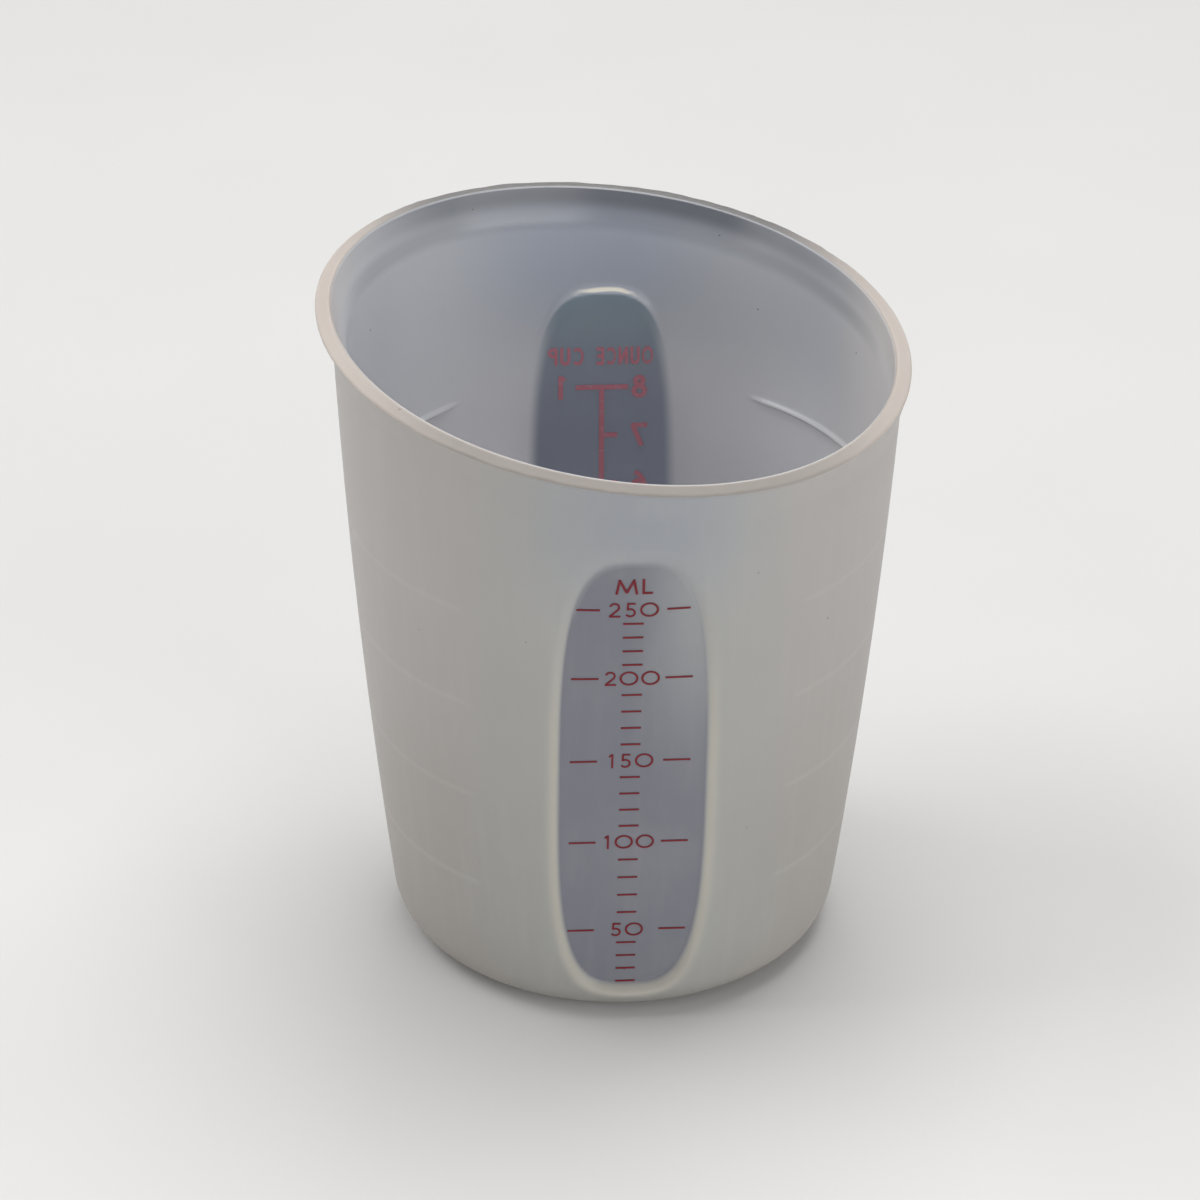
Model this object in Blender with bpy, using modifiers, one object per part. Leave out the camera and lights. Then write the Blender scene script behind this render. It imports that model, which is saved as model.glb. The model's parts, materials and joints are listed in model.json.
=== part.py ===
"""Flexible measuring cup, moulded in one piece, with printed scales on two windows.

Metres, +Z up. The origin is the middle of the flat foot, on the table.
The front window, with the millilitre scale, faces -Y.
The back window, with the ounce and cup scale, faces +Y.
"""
import math

import bmesh
import bpy
from mathutils import Matrix, Vector

MM = 0.001

# Side wall: its outer radius at three heights, because the side swells a little
RIM_HEIGHT = 94.5 * MM
FOOT_RADIUS = 31.7 * MM
MIDDLE_HEIGHT = 50.0 * MM
MIDDLE_RADIUS = 37.2 * MM
SHOULDER_BELOW_RIM = 4.5 * MM
SHOULDER_HEIGHT = RIM_HEIGHT - SHOULDER_BELOW_RIM
SHOULDER_RADIUS = 40.0 * MM
WALL_THICKNESS = 2.0 * MM
FLOOR_THICKNESS = 2.5 * MM
FOOT_ROUNDING = 7.5 * MM
INNER_ROUNDING = 5.5 * MM

# Mouth: a slanted, slightly bowed rim with a lip that flares out
RIM_SLANT = 5.6 * MM
HIGH_SIDE = math.radians(141.0)
RIM_BOW = 0.5 * MM
BOW_SIDE = math.radians(10.0)
RIM_LIFT = 0.9 * MM
LIFT_SIDE = math.radians(-96.0)
SLANT_DEPTH = 21.5 * MM
LEVEL_HEIGHT = RIM_HEIGHT - SLANT_DEPTH
LIP_LENGTH = 6.0 * MM
LIP_BEND = 2.4 * MM
LIP_FLARE = 1.7 * MM
LIP_FLARE_SWING = 0.7 * MM
LIP_THICKNESS = 2.3 * MM
LIP_EDGE = 0.4 * MM

# Raised fill lines inside, on the left and right sides
FILL_LINES = 4
FIRST_FILL_LINE = 21.0 * MM
FILL_LINE_PITCH = 15.7 * MM
FILL_LINE_WIDTH = 1.0 * MM
FILL_LINE_RISE = 0.45 * MM
FILL_LINE_HALF_SPAN = math.radians(52.0)

# Windows: flat panels in the round wall, sunk into its outside and proud of its inside
WINDOW_BOTTOM = 5.4 * MM
FRONT_WINDOW_BELOW_RIM = 15.1 * MM
FRONT_WINDOW_TOP = RIM_HEIGHT - FRONT_WINDOW_BELOW_RIM
BACK_WINDOW_BELOW_RIM = 12.5 * MM
BACK_WINDOW_TOP = RIM_HEIGHT - BACK_WINDOW_BELOW_RIM
WINDOW_WIDTH = 20.7 * MM
WINDOW_ROUNDNESS = 3.3
WINDOW_DEPTH = 2.1 * MM
WINDOW_THICKNESS = 1.2 * MM
WINDOW_MARGIN = 1.0 * MM
PANEL_COVER = 0.8 * MM

# The front window's panel turns round towards its top, and is shallow there
TOP_TURN_LENGTH = 34.4 * MM
TOP_TURN = 0.72
TOP_DEPTH = 0.35 * MM

# Printed ink
INK_THICKNESS = 0.15 * MM
INK_CLEARANCE = 0.25 * MM
PRINT_SHIFT = -0.4 * MM
LINE_WEIGHT = 0.3 * MM

# Millilitre scale: each numbered line stands at a share of the way from the zero to the top line
TOP_LINE_BELOW_WINDOW_TOP = 8.0 * MM
TOP_LINE_HEIGHT = FRONT_WINDOW_TOP - TOP_LINE_BELOW_WINDOW_TOP
ZERO_BELOW_WINDOW = 2.0 * MM
PRINT_ZERO = WINDOW_BOTTOM - ZERO_BELOW_WINDOW
LINE_SHARES = {250: 1.0, 200: 0.829, 150: 0.6195, 100: 0.41, 50: 0.176}
TICKS_PER_STEP = 4
LINE_INNER_END = 4.6 * MM
LINE_END_INSET = 1.95 * MM
LINE_LENGTH = WINDOW_WIDTH / 2 - LINE_END_INSET - LINE_INNER_END
TOP_LINE_END_INSET = 2.55 * MM
TOP_LINE_LENGTH = WINDOW_WIDTH / 2 - TOP_LINE_END_INSET - LINE_INNER_END
TICK_LENGTH = 2.8 * MM
DIGIT_HEIGHT = 2.4 * MM
DIGIT_STROKE = 0.28 * MM
UNIT_HEIGHT = 2.5 * MM
UNIT_STROKE = 0.34 * MM
UNIT_ABOVE_TOP_LINE = 3.9 * MM
UNIT_GAP = 0.55 * MM

# Ounce and cup scale: a stem with ticks to both sides
TOP_OUNCE = 8
TOP_OUNCE_BELOW_WINDOW_TOP = 14.8 * MM
TOP_OUNCE_HEIGHT = BACK_WINDOW_TOP - TOP_OUNCE_BELOW_WINDOW_TOP
LOW_OUNCE_ABOVE_WINDOW = 7.6 * MM
OUNCE_PITCH = (TOP_OUNCE_HEIGHT - LOW_OUNCE_ABOVE_WINDOW - WINDOW_BOTTOM) / (TOP_OUNCE - 1)
OUNCES_PER_CUP = 8
CUP_PARTS = (3 / 4, 2 / 3, 1 / 2, 1 / 3, 1 / 4)
STEM_WEIGHT = 0.5 * MM
CROSS_LENGTH = 7.8 * MM
SIDE_TICK_LENGTH = 2.1 * MM
OUNCE_DIGIT_HEIGHT = 3.7 * MM
OUNCE_DIGIT_STROKE = 0.6 * MM
OUNCE_DIGIT_OFFSET = 5.6 * MM
CUP_DIGIT_OFFSET = 6.0 * MM

# Smoothness of the turned surfaces
TURN_STEPS = 64
WALL_ROWS = 9
LIP_ROWS = 5
CORNER_ROWS = 6
OUTLINE_POINTS = 48
PANEL_RINGS = 4
ARC_POINTS = 10

FRONT = math.radians(-90.0)
BACK = math.radians(90.0)


def clear_scene():
    for item in list(bpy.data.objects):
        bpy.data.objects.remove(item, do_unlink=True)


def new_collection(name, hidden=False):
    collection = bpy.data.collections.new(name)
    bpy.context.scene.collection.children.link(collection)
    collection.hide_render = hidden
    return collection


def plain_material(name, colour, roughness, alpha=1.0):
    material = bpy.data.materials.new(name)
    material.use_nodes = True
    surface = material.node_tree.nodes["Principled BSDF"]
    surface.inputs["Base Color"].default_value = (*colour, 1.0)
    surface.inputs["Roughness"].default_value = roughness
    surface.inputs["Metallic"].default_value = 0.0
    surface.inputs["Alpha"].default_value = alpha
    return material


# Side wall as a function of height

def wall_radius(height):
    """Outer radius of the wall: the parabola through the three stated radii."""
    first = (MIDDLE_RADIUS - FOOT_RADIUS) / MIDDLE_HEIGHT
    second = (SHOULDER_RADIUS - MIDDLE_RADIUS) / (SHOULDER_HEIGHT - MIDDLE_HEIGHT)
    bend = (second - first) / SHOULDER_HEIGHT
    return FOOT_RADIUS + first * height + bend * height * (height - MIDDLE_HEIGHT)


def wall_slope(height, step=0.1 * MM):
    return (wall_radius(height + step) - wall_radius(height - step)) / (2 * step)


def wall_normal(slope):
    """Outward normal, as radius and height, of a wall that leans out by slope."""
    return Vector((1.0, -slope)).normalized()


def lip_share(height):
    """0 where the lip starts to bend out, 1 at the rim, with a rounded start."""
    start = RIM_HEIGHT - LIP_LENGTH
    run = min(max(height - start, 0.0), LIP_LENGTH)
    bent = min(run, LIP_BEND)
    total = LIP_LENGTH - LIP_BEND / 2
    return (bent * bent / (2 * LIP_BEND) + max(run - LIP_BEND, 0.0)) / total


def outer_point(height):
    return Vector((wall_radius(height) + LIP_FLARE * lip_share(height), height))


def outer_normal(height, step=0.1 * MM):
    ahead, behind = outer_point(height + step), outer_point(height - step)
    return wall_normal((ahead.x - behind.x) / (ahead.y - behind.y))


def foot_corner():
    """The arc of the foot's rounding, from the wall down to the flat."""
    height = FOOT_ROUNDING
    for _ in range(20):
        normal = wall_normal(wall_slope(height))
        height = FOOT_ROUNDING * (1 + normal.y)
    normal = wall_normal(wall_slope(height))
    centre = Vector((wall_radius(height), height)) - FOOT_ROUNDING * normal
    top = math.atan2(normal.y, normal.x)
    angles = [top + (-math.pi / 2 - top) * i / CORNER_ROWS for i in range(CORNER_ROWS + 1)]
    return [centre + FOOT_ROUNDING * Vector((math.cos(a), math.sin(a))) for a in angles]


def inner_point(height):
    """Point of the inner face across the wall from an outer point."""
    thickness = WALL_THICKNESS + (LIP_THICKNESS - WALL_THICKNESS) * lip_share(height)
    return outer_point(height) - thickness * outer_normal(height)


def spread(low, high, count):
    return [low + (high - low) * i / count for i in range(count + 1)]


# The moulding

def fill_line_heights():
    return [FIRST_FILL_LINE + FILL_LINE_PITCH * i for i in range(FILL_LINES)]


def inner_corner():
    """Arc from the floor up to the inner wall, tangent to both."""
    height = FLOOR_THICKNESS + INNER_ROUNDING
    normal = wall_normal(wall_slope(height))
    side = inner_point(height)
    centre = Vector((side.x - INNER_ROUNDING * normal.x, FLOOR_THICKNESS + INNER_ROUNDING))
    top = math.atan2(normal.y, normal.x)
    angles = [-math.pi / 2 + (top + math.pi / 2) * i / CORNER_ROWS for i in range(CORNER_ROWS + 1)]
    return [centre + INNER_ROUNDING * Vector((math.cos(a), math.sin(a))) for a in angles]


def wall_heights(low):
    """Heights of the rows, from low to the bend of the lip and over the lip."""
    bend = RIM_HEIGHT - LIP_LENGTH
    rows = [h for h in spread(low, LEVEL_HEIGHT, WALL_ROWS)][1:]
    rows += spread(LEVEL_HEIGHT, bend, 3)[1:]
    rows += spread(bend, RIM_HEIGHT - LIP_EDGE, LIP_ROWS)[1:]
    return rows


def inner_rows(low):
    """Inner rows, with three close rows at each fill line and none crowding them."""
    lines = fill_line_heights()
    rows = [h for h in wall_heights(low) if all(abs(h - line) > FILL_LINE_WIDTH for line in lines)]
    for line in lines:
        rows += [line - FILL_LINE_WIDTH / 2, line, line + FILL_LINE_WIDTH / 2]
    return sorted(rows)


def cup_profile():
    """Half section, from the middle of the floor up the inside and down the outside."""
    corner = inner_corner()
    points = [Vector((0.0, FLOOR_THICKNESS))]
    points += corner
    points += [inner_point(h) for h in inner_rows(corner[-1].y)]
    rim_out, rim_in = outer_point(RIM_HEIGHT), inner_point(RIM_HEIGHT)
    across = (rim_out - rim_in).normalized()
    points += [rim_in + LIP_EDGE * across, rim_out - LIP_EDGE * across]
    foot = foot_corner()
    points += [outer_point(h) for h in reversed(wall_heights(foot[0].y))]
    points += foot
    points.append(Vector((0.0, 0.0)))
    return points


def turned_object(name, points, collection):
    """Turn a half section, given as radius and height, about the Z axis."""
    mesh = bpy.data.meshes.new(name)
    edges = [(i, i + 1) for i in range(len(points) - 1)]
    mesh.from_pydata([(p.x, 0.0, p.y) for p in points], edges, [])
    turned = bpy.data.objects.new(name, mesh)
    collection.objects.link(turned)
    screw = turned.modifiers.new("turn", "SCREW")
    screw.axis = "Z"
    screw.angle = math.radians(360.0)
    screw.steps = TURN_STEPS
    screw.render_steps = TURN_STEPS
    screw.use_merge_vertices = True
    screw.merge_threshold = 0.001 * MM
    return turned


def evaluated_mesh(source):
    graph = bpy.context.evaluated_depsgraph_get()
    return bpy.data.meshes.new_from_object(source.evaluated_get(graph))


def rim_rise(azimuth):
    """How much higher than its mean height the rim stands at an azimuth."""
    slant = RIM_SLANT * math.cos(azimuth - HIGH_SIDE)
    lift = RIM_LIFT * max(math.cos(azimuth - LIFT_SIDE), 0.0) ** 3
    return slant + lift + RIM_BOW * math.cos(2 * (azimuth - BOW_SIDE))


def slant_share(height):
    """0 up to the level part's end, 1 from the lip's bend upwards."""
    reach = RIM_HEIGHT - LIP_LENGTH - LEVEL_HEIGHT
    share = min(max((height - LEVEL_HEIGHT) / reach, 0.0), 1.0)
    return share * share * (3 - 2 * share)


def fill_line_share(azimuth):
    """1 along a fill line, on either side, and 0 past its ends."""
    from_side = abs(math.asin(math.sin(azimuth)))
    step = 2 * math.pi / TURN_STEPS
    return min(max((FILL_LINE_HALF_SPAN - from_side) / step + 0.5, 0.0), 1.0)


def shape_vertex(place):
    """Move a vertex of the turned cup to the slanted mouth, or up a fill line."""
    radius, azimuth, height = math.hypot(place.x, place.y), math.atan2(place.y, place.x), place.z
    if radius < 0.01 * MM:
        return place
    inside = radius < wall_radius(height) - WALL_THICKNESS / 2
    on_line = any(abs(height - inner_point(line).y) < 0.01 * MM for line in fill_line_heights())
    if inside and on_line:
        radius -= FILL_LINE_RISE * fill_line_share(azimuth)
    raised = height + rim_rise(azimuth) * slant_share(height)
    radius += wall_radius(raised) - wall_radius(height)
    radius += LIP_FLARE_SWING * math.cos(azimuth - HIGH_SIDE) * lip_share(height)
    return Vector((radius * math.cos(azimuth), radius * math.sin(azimuth), raised))


def window_outline(top, margin):
    """A rounded panel outline, as across and height, with a margin all round."""
    half_width = WINDOW_WIDTH / 2 + margin
    half_height = (top - WINDOW_BOTTOM) / 2 + margin
    points = []
    for i in range(OUTLINE_POINTS):
        turn = 2 * math.pi * i / OUTLINE_POINTS
        across, along = math.cos(turn), math.sin(turn)
        power = 2 / WINDOW_ROUNDNESS
        x = math.copysign(abs(across) ** power, across) * half_width
        z = math.copysign(abs(along) ** power, along) * half_height
        points.append(Vector((x, z + (top + WINDOW_BOTTOM) / 2)))
    return points


def round_wall(across, height, depth):
    """Distance outwards from the middle of the cup to a face that lies deep under the round wall."""
    return math.sqrt((wall_radius(height) - depth) ** 2 - across * across)


def panel_face(across, height, side):
    """Distance outwards from the middle of the cup to the outer face of a window's panel."""
    flat = wall_radius(height) - WINDOW_DEPTH
    if side == BACK:
        return flat
    run = min(max((height - FRONT_WINDOW_TOP) / TOP_TURN_LENGTH + 1.0, 0.0), 1.0)
    return flat + (round_wall(across, height, TOP_DEPTH) - flat) * TOP_TURN * run ** 1.5


def panel_solid(name, side, outline, near, far, collection):
    """A closed solid inside an outline, between two faces given as distances outwards."""
    middle = sum(outline, Vector((0.0, 0.0))) / len(outline)
    solid = bmesh.new()
    layers = []
    for face in (near, far):
        rings = [[solid.verts.new((middle.x, -face(middle.x, middle.y), middle.y))]]
        for ring_number in range(1, PANEL_RINGS + 1):
            spots = [middle.lerp(point, ring_number / PANEL_RINGS) for point in outline]
            rings.append([solid.verts.new((spot.x, -face(spot.x, spot.y), spot.y)) for spot in spots])
        layers.append(rings)
    for rings in layers:
        for i in range(len(outline)):
            solid.faces.new((rings[0][0], rings[1][i], rings[1][i - 1]))
            for inner, outer in zip(rings[1:], rings[2:]):
                solid.faces.new((inner[i], outer[i], outer[i - 1], inner[i - 1]))
    for i in range(len(outline)):
        near_edge, far_edge = layers[0][-1], layers[1][-1]
        solid.faces.new((near_edge[i], far_edge[i], far_edge[i - 1], near_edge[i - 1]))
    bmesh.ops.recalc_face_normals(solid, faces=solid.faces)
    bmesh.ops.rotate(solid, matrix=Matrix.Rotation(side - FRONT, 3, "Z"), verts=solid.verts)
    mesh = bpy.data.meshes.new(name)
    solid.to_mesh(mesh)
    solid.free()
    holder = bpy.data.objects.new(name, mesh)
    collection.objects.link(holder)
    holder.hide_render = True
    holder.display_type = "WIRE"
    return holder


def window_solids(name, side, top, collection):
    """The panel that is added inside the wall at a window, and the cutter that sinks the window outside."""
    def inner_face(across, height):
        return wall_radius(height) - WINDOW_DEPTH - WINDOW_THICKNESS

    def covered_face(across, height):
        return round_wall(across, height, PANEL_COVER)

    def outer_face(across, height):
        return panel_face(across, height, side)

    def open_air(across, height):
        return SHOULDER_RADIUS + 3 * WALL_THICKNESS

    panel = panel_solid(name + "_panel", side, window_outline(top, WINDOW_MARGIN), inner_face, covered_face, collection)
    cutter = panel_solid(name + "_cutter", side, window_outline(top, 0.0), outer_face, open_air, collection)
    return panel, cutter


def make_cup_body(parts, cutters, silicone):
    turned = turned_object("cup_section", cup_profile(), parts)
    mesh = evaluated_mesh(turned)
    bpy.data.objects.remove(turned, do_unlink=True)
    mesh.name = "cup_body"
    for vertex in mesh.vertices:
        vertex.co = shape_vertex(vertex.co)
    mesh.shade_smooth()
    mesh.set_sharp_from_angle(angle=math.radians(35.0))
    mesh.materials.append(silicone)
    body = bpy.data.objects.new("cup_body", mesh)
    parts.objects.link(body)
    for name, side, top in (("front_window", FRONT, FRONT_WINDOW_TOP), ("back_window", BACK, BACK_WINDOW_TOP)):
        panel, cutter = window_solids(name, side, top, cutters)
        for tool, operation in ((panel, "UNION"), (cutter, "DIFFERENCE")):
            change = body.modifiers.new(tool.name, "BOOLEAN")
            change.operation = operation
            change.object = tool
    return body


# Flat printed shapes, drawn as across and up

def flat_plate(name, outlines, thickness):
    """A plate centred on its thickness, from closed outlines; an outline inside another is a hole."""
    curve = bpy.data.curves.new(name, "CURVE")
    curve.dimensions = "2D"
    curve.fill_mode = "BOTH"
    curve.extrude = thickness / 2
    for outline in outlines:
        spline = curve.splines.new("POLY")
        spline.points.add(len(outline) - 1)
        for point, (x, y) in zip(spline.points, outline):
            point.co = (x, y, 0.0, 1.0)
        spline.use_cyclic_u = True
    holder = bpy.data.objects.new(name, curve)
    bpy.context.scene.collection.objects.link(holder)
    mesh = evaluated_mesh(holder)
    bpy.data.objects.remove(holder, do_unlink=True)
    welded = bmesh.new()
    welded.from_mesh(mesh)
    bmesh.ops.remove_doubles(welded, verts=welded.verts, dist=0.0005 * MM)
    bmesh.ops.recalc_face_normals(welded, faces=welded.faces)
    welded.to_mesh(mesh)
    welded.free()
    return mesh


def arc(centre, radius, start, end):
    """Points of an arc between two angles in degrees."""
    points = []
    for i in range(ARC_POINTS + 1):
        angle = math.radians(start + (end - start) * i / ARC_POINTS)
        points.append((centre[0] + radius * math.cos(angle), centre[1] + radius * math.sin(angle)))
    return points


def ring(centre, across, tall, stroke):
    """Outer and inner outline of a closed round stroke."""
    outlines = []
    for inset in (0.0, stroke):
        outline = []
        for i in range(2 * ARC_POINTS):
            turn = math.pi * i / ARC_POINTS
            x = centre[0] + (across / 2 - inset) * math.cos(turn)
            y = centre[1] + (tall / 2 - inset) * math.sin(turn)
            outline.append((x, y))
        outlines.append(outline)
    return outlines


def ribbon(path, stroke):
    """Outline of an open stroke of even width along a path."""
    points = [Vector(p) for p in path]
    left, right = [], []
    for i, point in enumerate(points):
        before = (point - points[i - 1]).normalized() if i > 0 else None
        after = (points[i + 1] - point).normalized() if i < len(points) - 1 else None
        ahead, behind = after or before, before or after
        side = (Vector((-ahead.y, ahead.x)) + Vector((-behind.y, behind.x))).normalized()
        reach = stroke / 2 / max(side.dot(Vector((-ahead.y, ahead.x))), 0.35)
        left.append(tuple(point + reach * side))
        right.append(tuple(point - reach * side))
    return left + right[::-1]


def glyph_strokes(sign, stroke):
    """Strokes of a sign of height 1, each as a list of outlines, and the sign's width."""
    half = stroke / 2
    top, base = 1.0 - half, half
    if sign == "0":
        return [ring((0.54, 0.5), 1.08, 1.0, stroke)], 1.08
    if sign == "1":
        return [[ribbon([(0.0, 0.80), (0.25 - half, 0.97), (0.25 - half, 0.0)], stroke)]], 0.25
    if sign == "2":
        bow = arc((0.33, top - 0.25), 0.25, 165.0, -38.0)
        return [[ribbon(bow + [(half * 1.4, base), (0.67, base)], stroke)]], 0.67
    if sign == "3":
        upper = arc((0.32, top - 0.20), 0.20, 150.0, -90.0)
        lower = arc((0.32, base + 0.25), 0.25, 90.0, -155.0)
        lower[0] = (0.32, top - 0.40)
        return [[ribbon([(0.25, top - 0.40)] + lower, stroke)], [ribbon(upper, stroke)]], 0.62
    if sign == "4":
        arm = ribbon([(0.52, 1.0 - half), (half * 1.2, 0.27), (0.70, 0.27)], stroke)
        return [[arm], [ribbon([(0.50, 0.0), (0.50, 1.0)], stroke)]], 0.70
    if sign == "5":
        bowl = arc((0.33, base + 0.255), 0.255, 128.0, -150.0)
        return [[ribbon([(0.62, top), (0.17, top), (0.12, 0.51)] + bowl[1:], stroke)]], 0.66
    if sign == "6":
        bowl = ring((0.33, 0.33), 0.66, 0.66, stroke)
        back = arc((0.83, 0.30), 0.83 - half, 174.0, 118.0)
        return [bowl, [ribbon(back, stroke)]], 0.66
    if sign == "7":
        return [[ribbon([(0.0, top), (0.60, top), (0.22, 0.0)], stroke)]], 0.66
    if sign == "8":
        return [ring((0.33, 0.31), 0.66, 0.62, stroke), ring((0.33, 0.75), 0.54, 0.50, stroke)], 0.66
    if sign == "M":
        zigzag = [(half, 0.0), (0.22, 0.94), (0.625, 0.16), (1.03, 0.94), (1.25 - half, 0.0)]
        return [[ribbon(zigzag, stroke)]], 1.25
    return [[ribbon([(half, 1.0), (half, base), (0.58, base)], stroke)]], 0.58


def glyph_mesh(sign, height, stroke):
    """A printed sign as one closed plate, centred on its middle height, its left edge at 0."""
    strokes, width = glyph_strokes(sign, stroke / height)
    plates = []
    for number, outlines in enumerate(strokes):
        scaled = [[(x * height, (y - 0.5) * height) for x, y in outline] for outline in outlines]
        plate = flat_plate(f"sign_{sign}_{number}", scaled, INK_THICKNESS)
        plates.append(bpy.data.objects.new(plate.name, plate))
        bpy.context.scene.collection.objects.link(plates[-1])
    for extra in plates[1:]:
        join = plates[0].modifiers.new("join", "BOOLEAN")
        join.operation = "UNION"
        join.object = extra
    mesh = evaluated_mesh(plates[0])
    for plate in plates:
        bpy.data.objects.remove(plate, do_unlink=True)
    return mesh, width * height


def bar_mesh(name, length, weight):
    bar = bmesh.new()
    bmesh.ops.create_cube(bar, size=1.0, matrix=Matrix.Diagonal((length, weight, INK_THICKNESS, 1.0)))
    mesh = bpy.data.meshes.new(name)
    bar.to_mesh(mesh)
    bar.free()
    return mesh


# Placing print on a window's floor

def window_place(side, across, height, depth):
    """Frame on the window: X across to a reader's right, Y up the wall, Z out, at a distance from its face."""
    step = 0.1 * MM
    lean_across = (panel_face(across + step, height, side) - panel_face(across - step, height, side)) / (2 * step)
    lean_up = (panel_face(across, height + step, side) - panel_face(across, height - step, side)) / (2 * step)
    right = Vector((1.0, -lean_across, 0.0)).normalized()
    out = Vector((-lean_across, -1.0, -lean_up)).normalized()
    up = out.cross(right)
    frame = Matrix((right, up, out)).transposed().to_4x4()
    spot = Vector((across, -panel_face(across, height, side), height)) + depth * out
    return Matrix.Rotation(side - FRONT, 4, "Z") @ Matrix.Translation(spot) @ frame


def add_mark(name, mesh, side, across, height, parts, ink):
    if not mesh.materials:
        mesh.materials.append(ink)
    mark = bpy.data.objects.new(name, mesh)
    mark.matrix_world = window_place(side, across, height, INK_CLEARANCE + INK_THICKNESS / 2)
    parts.objects.link(mark)
    return mark


SIDE_BEARINGS = {"0": (0.08, 0.08), "1": (0.21, 0.25), "2": (0.10, 0.11), "5": (0.12, 0.14)}


def number_layout(text, widths, height):
    """Left edges of the digits of a number that is centred on 0."""
    edges, cursor = [], 0.0
    for digit in text:
        before, after = SIDE_BEARINGS[digit]
        edges.append(cursor + before * height)
        cursor += (before + after) * height + widths[digit]
    return [edge - cursor / 2 for edge in edges]


def line_height(amount):
    return PRINT_ZERO + LINE_SHARES[amount] * (TOP_LINE_HEIGHT - PRINT_ZERO)


def make_millilitre_scale(parts, ink):
    line = bar_mesh("numbered_line", LINE_LENGTH, LINE_WEIGHT)
    top_line = bar_mesh("top_line", TOP_LINE_LENGTH, LINE_WEIGHT)
    tick = bar_mesh("tick", TICK_LENGTH, LINE_WEIGHT)
    digits = {sign: glyph_mesh(sign, DIGIT_HEIGHT, DIGIT_STROKE) for sign in "0125"}
    widths = {sign: width for sign, (mesh, width) in digits.items()}
    levels = sorted(LINE_SHARES)

    for amount in LINE_SHARES:
        height = line_height(amount)
        is_top = amount == levels[-1]
        length = TOP_LINE_LENGTH if is_top else LINE_LENGTH
        reach = LINE_INNER_END + length / 2
        for word, sign in (("left", -1), ("right", 1)):
            mesh = top_line if is_top else line
            across = PRINT_SHIFT + sign * reach
            add_mark(f"line_{amount}_ml_{word}", mesh, FRONT, across, height, parts, ink)
        edges = number_layout(str(amount), widths, DIGIT_HEIGHT)
        for place, (digit, edge) in enumerate(zip(str(amount), edges), start=1):
            add_mark(f"number_{amount}_ml_digit_{place}", digits[digit][0], FRONT,
                     PRINT_SHIFT + edge, height, parts, ink)

    for below, above in zip([0] + levels, levels):
        low = line_height(below) if below else PRINT_ZERO
        step = (line_height(above) - low) / (TICKS_PER_STEP + 1)
        for count in range(1, TICKS_PER_STEP + 1):
            amount = below + count * (above - below) // (TICKS_PER_STEP + 1)
            add_mark(f"tick_{amount}_ml", tick, FRONT, PRINT_SHIFT, low + count * step, parts, ink)

    wide, wide_width = glyph_mesh("M", UNIT_HEIGHT, UNIT_STROKE)
    narrow, narrow_width = glyph_mesh("L", UNIT_HEIGHT, UNIT_STROKE)
    left = PRINT_SHIFT - (wide_width + UNIT_GAP + narrow_width) / 2
    level = TOP_LINE_HEIGHT + UNIT_ABOVE_TOP_LINE
    add_mark("unit_letter_m", wide, FRONT, left, level, parts, ink)
    add_mark("unit_letter_l", narrow, FRONT, left + wide_width + UNIT_GAP, level, parts, ink)


def ounce_height(ounces):
    return TOP_OUNCE_HEIGHT - OUNCE_PITCH * (TOP_OUNCE - ounces)


def stem_outline():
    """One outline round the stem, its ounce ticks on the left and its cup ticks on the right."""
    half, reach = STEM_WEIGHT / 2, STEM_WEIGHT / 2 + SIDE_TICK_LENGTH
    cross = CROSS_LENGTH / 2
    foot = ounce_height(1) - half
    right = [(cross, TOP_OUNCE_HEIGHT + half), (cross, TOP_OUNCE_HEIGHT - half), (half, TOP_OUNCE_HEIGHT - half)]
    for part in CUP_PARTS:
        level = ounce_height(part * OUNCES_PER_CUP)
        right += [(half, level + half), (reach, level + half), (reach, level - half), (half, level - half)]
    right.append((half, foot))
    left = [(-reach, foot), (-reach, foot + 2 * half), (-half, foot + 2 * half)]
    for ounces in range(2, TOP_OUNCE):
        level = ounce_height(ounces)
        left += [(-half, level - half), (-reach, level - half), (-reach, level + half), (-half, level + half)]
    left += [(-half, TOP_OUNCE_HEIGHT - half), (-cross, TOP_OUNCE_HEIGHT - half), (-cross, TOP_OUNCE_HEIGHT + half)]
    return right + left


def make_ounce_scale(parts, ink):
    stem = flat_plate("ounce_stem_with_ticks", [stem_outline()], INK_THICKNESS)
    for vertex in stem.vertices:
        depth = INK_CLEARANCE + INK_THICKNESS / 2 + vertex.co.z
        vertex.co = window_place(BACK, vertex.co.x, vertex.co.y, depth).translation
    stem.materials.append(ink)
    parts.objects.link(bpy.data.objects.new("ounce_stem_with_ticks", stem))

    for ounces in range(1, TOP_OUNCE + 1):
        mesh, width = glyph_mesh(str(ounces), OUNCE_DIGIT_HEIGHT, OUNCE_DIGIT_STROKE)
        across = -OUNCE_DIGIT_OFFSET - width / 2
        add_mark(f"number_{ounces}_ounce", mesh, BACK, across, ounce_height(ounces), parts, ink)
    mesh, width = glyph_mesh("1", OUNCE_DIGIT_HEIGHT, OUNCE_DIGIT_STROKE)
    across = CUP_DIGIT_OFFSET - width / 2
    add_mark("number_1_cup", mesh, BACK, across, ounce_height(OUNCES_PER_CUP), parts, ink)


def main():
    clear_scene()
    parts = new_collection("silicone_measuring_cup")
    cutters = new_collection("cutters", hidden=True)
    silicone = plain_material("milky_silicone", (0.56, 0.56, 0.56), 0.45, alpha=0.85)
    ink = plain_material("crimson_ink", (0.26, 0.012, 0.035), 0.40)
    make_cup_body(parts, cutters, silicone)
    make_millilitre_scale(parts, ink)
    make_ounce_scale(parts, ink)


main()
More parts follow.
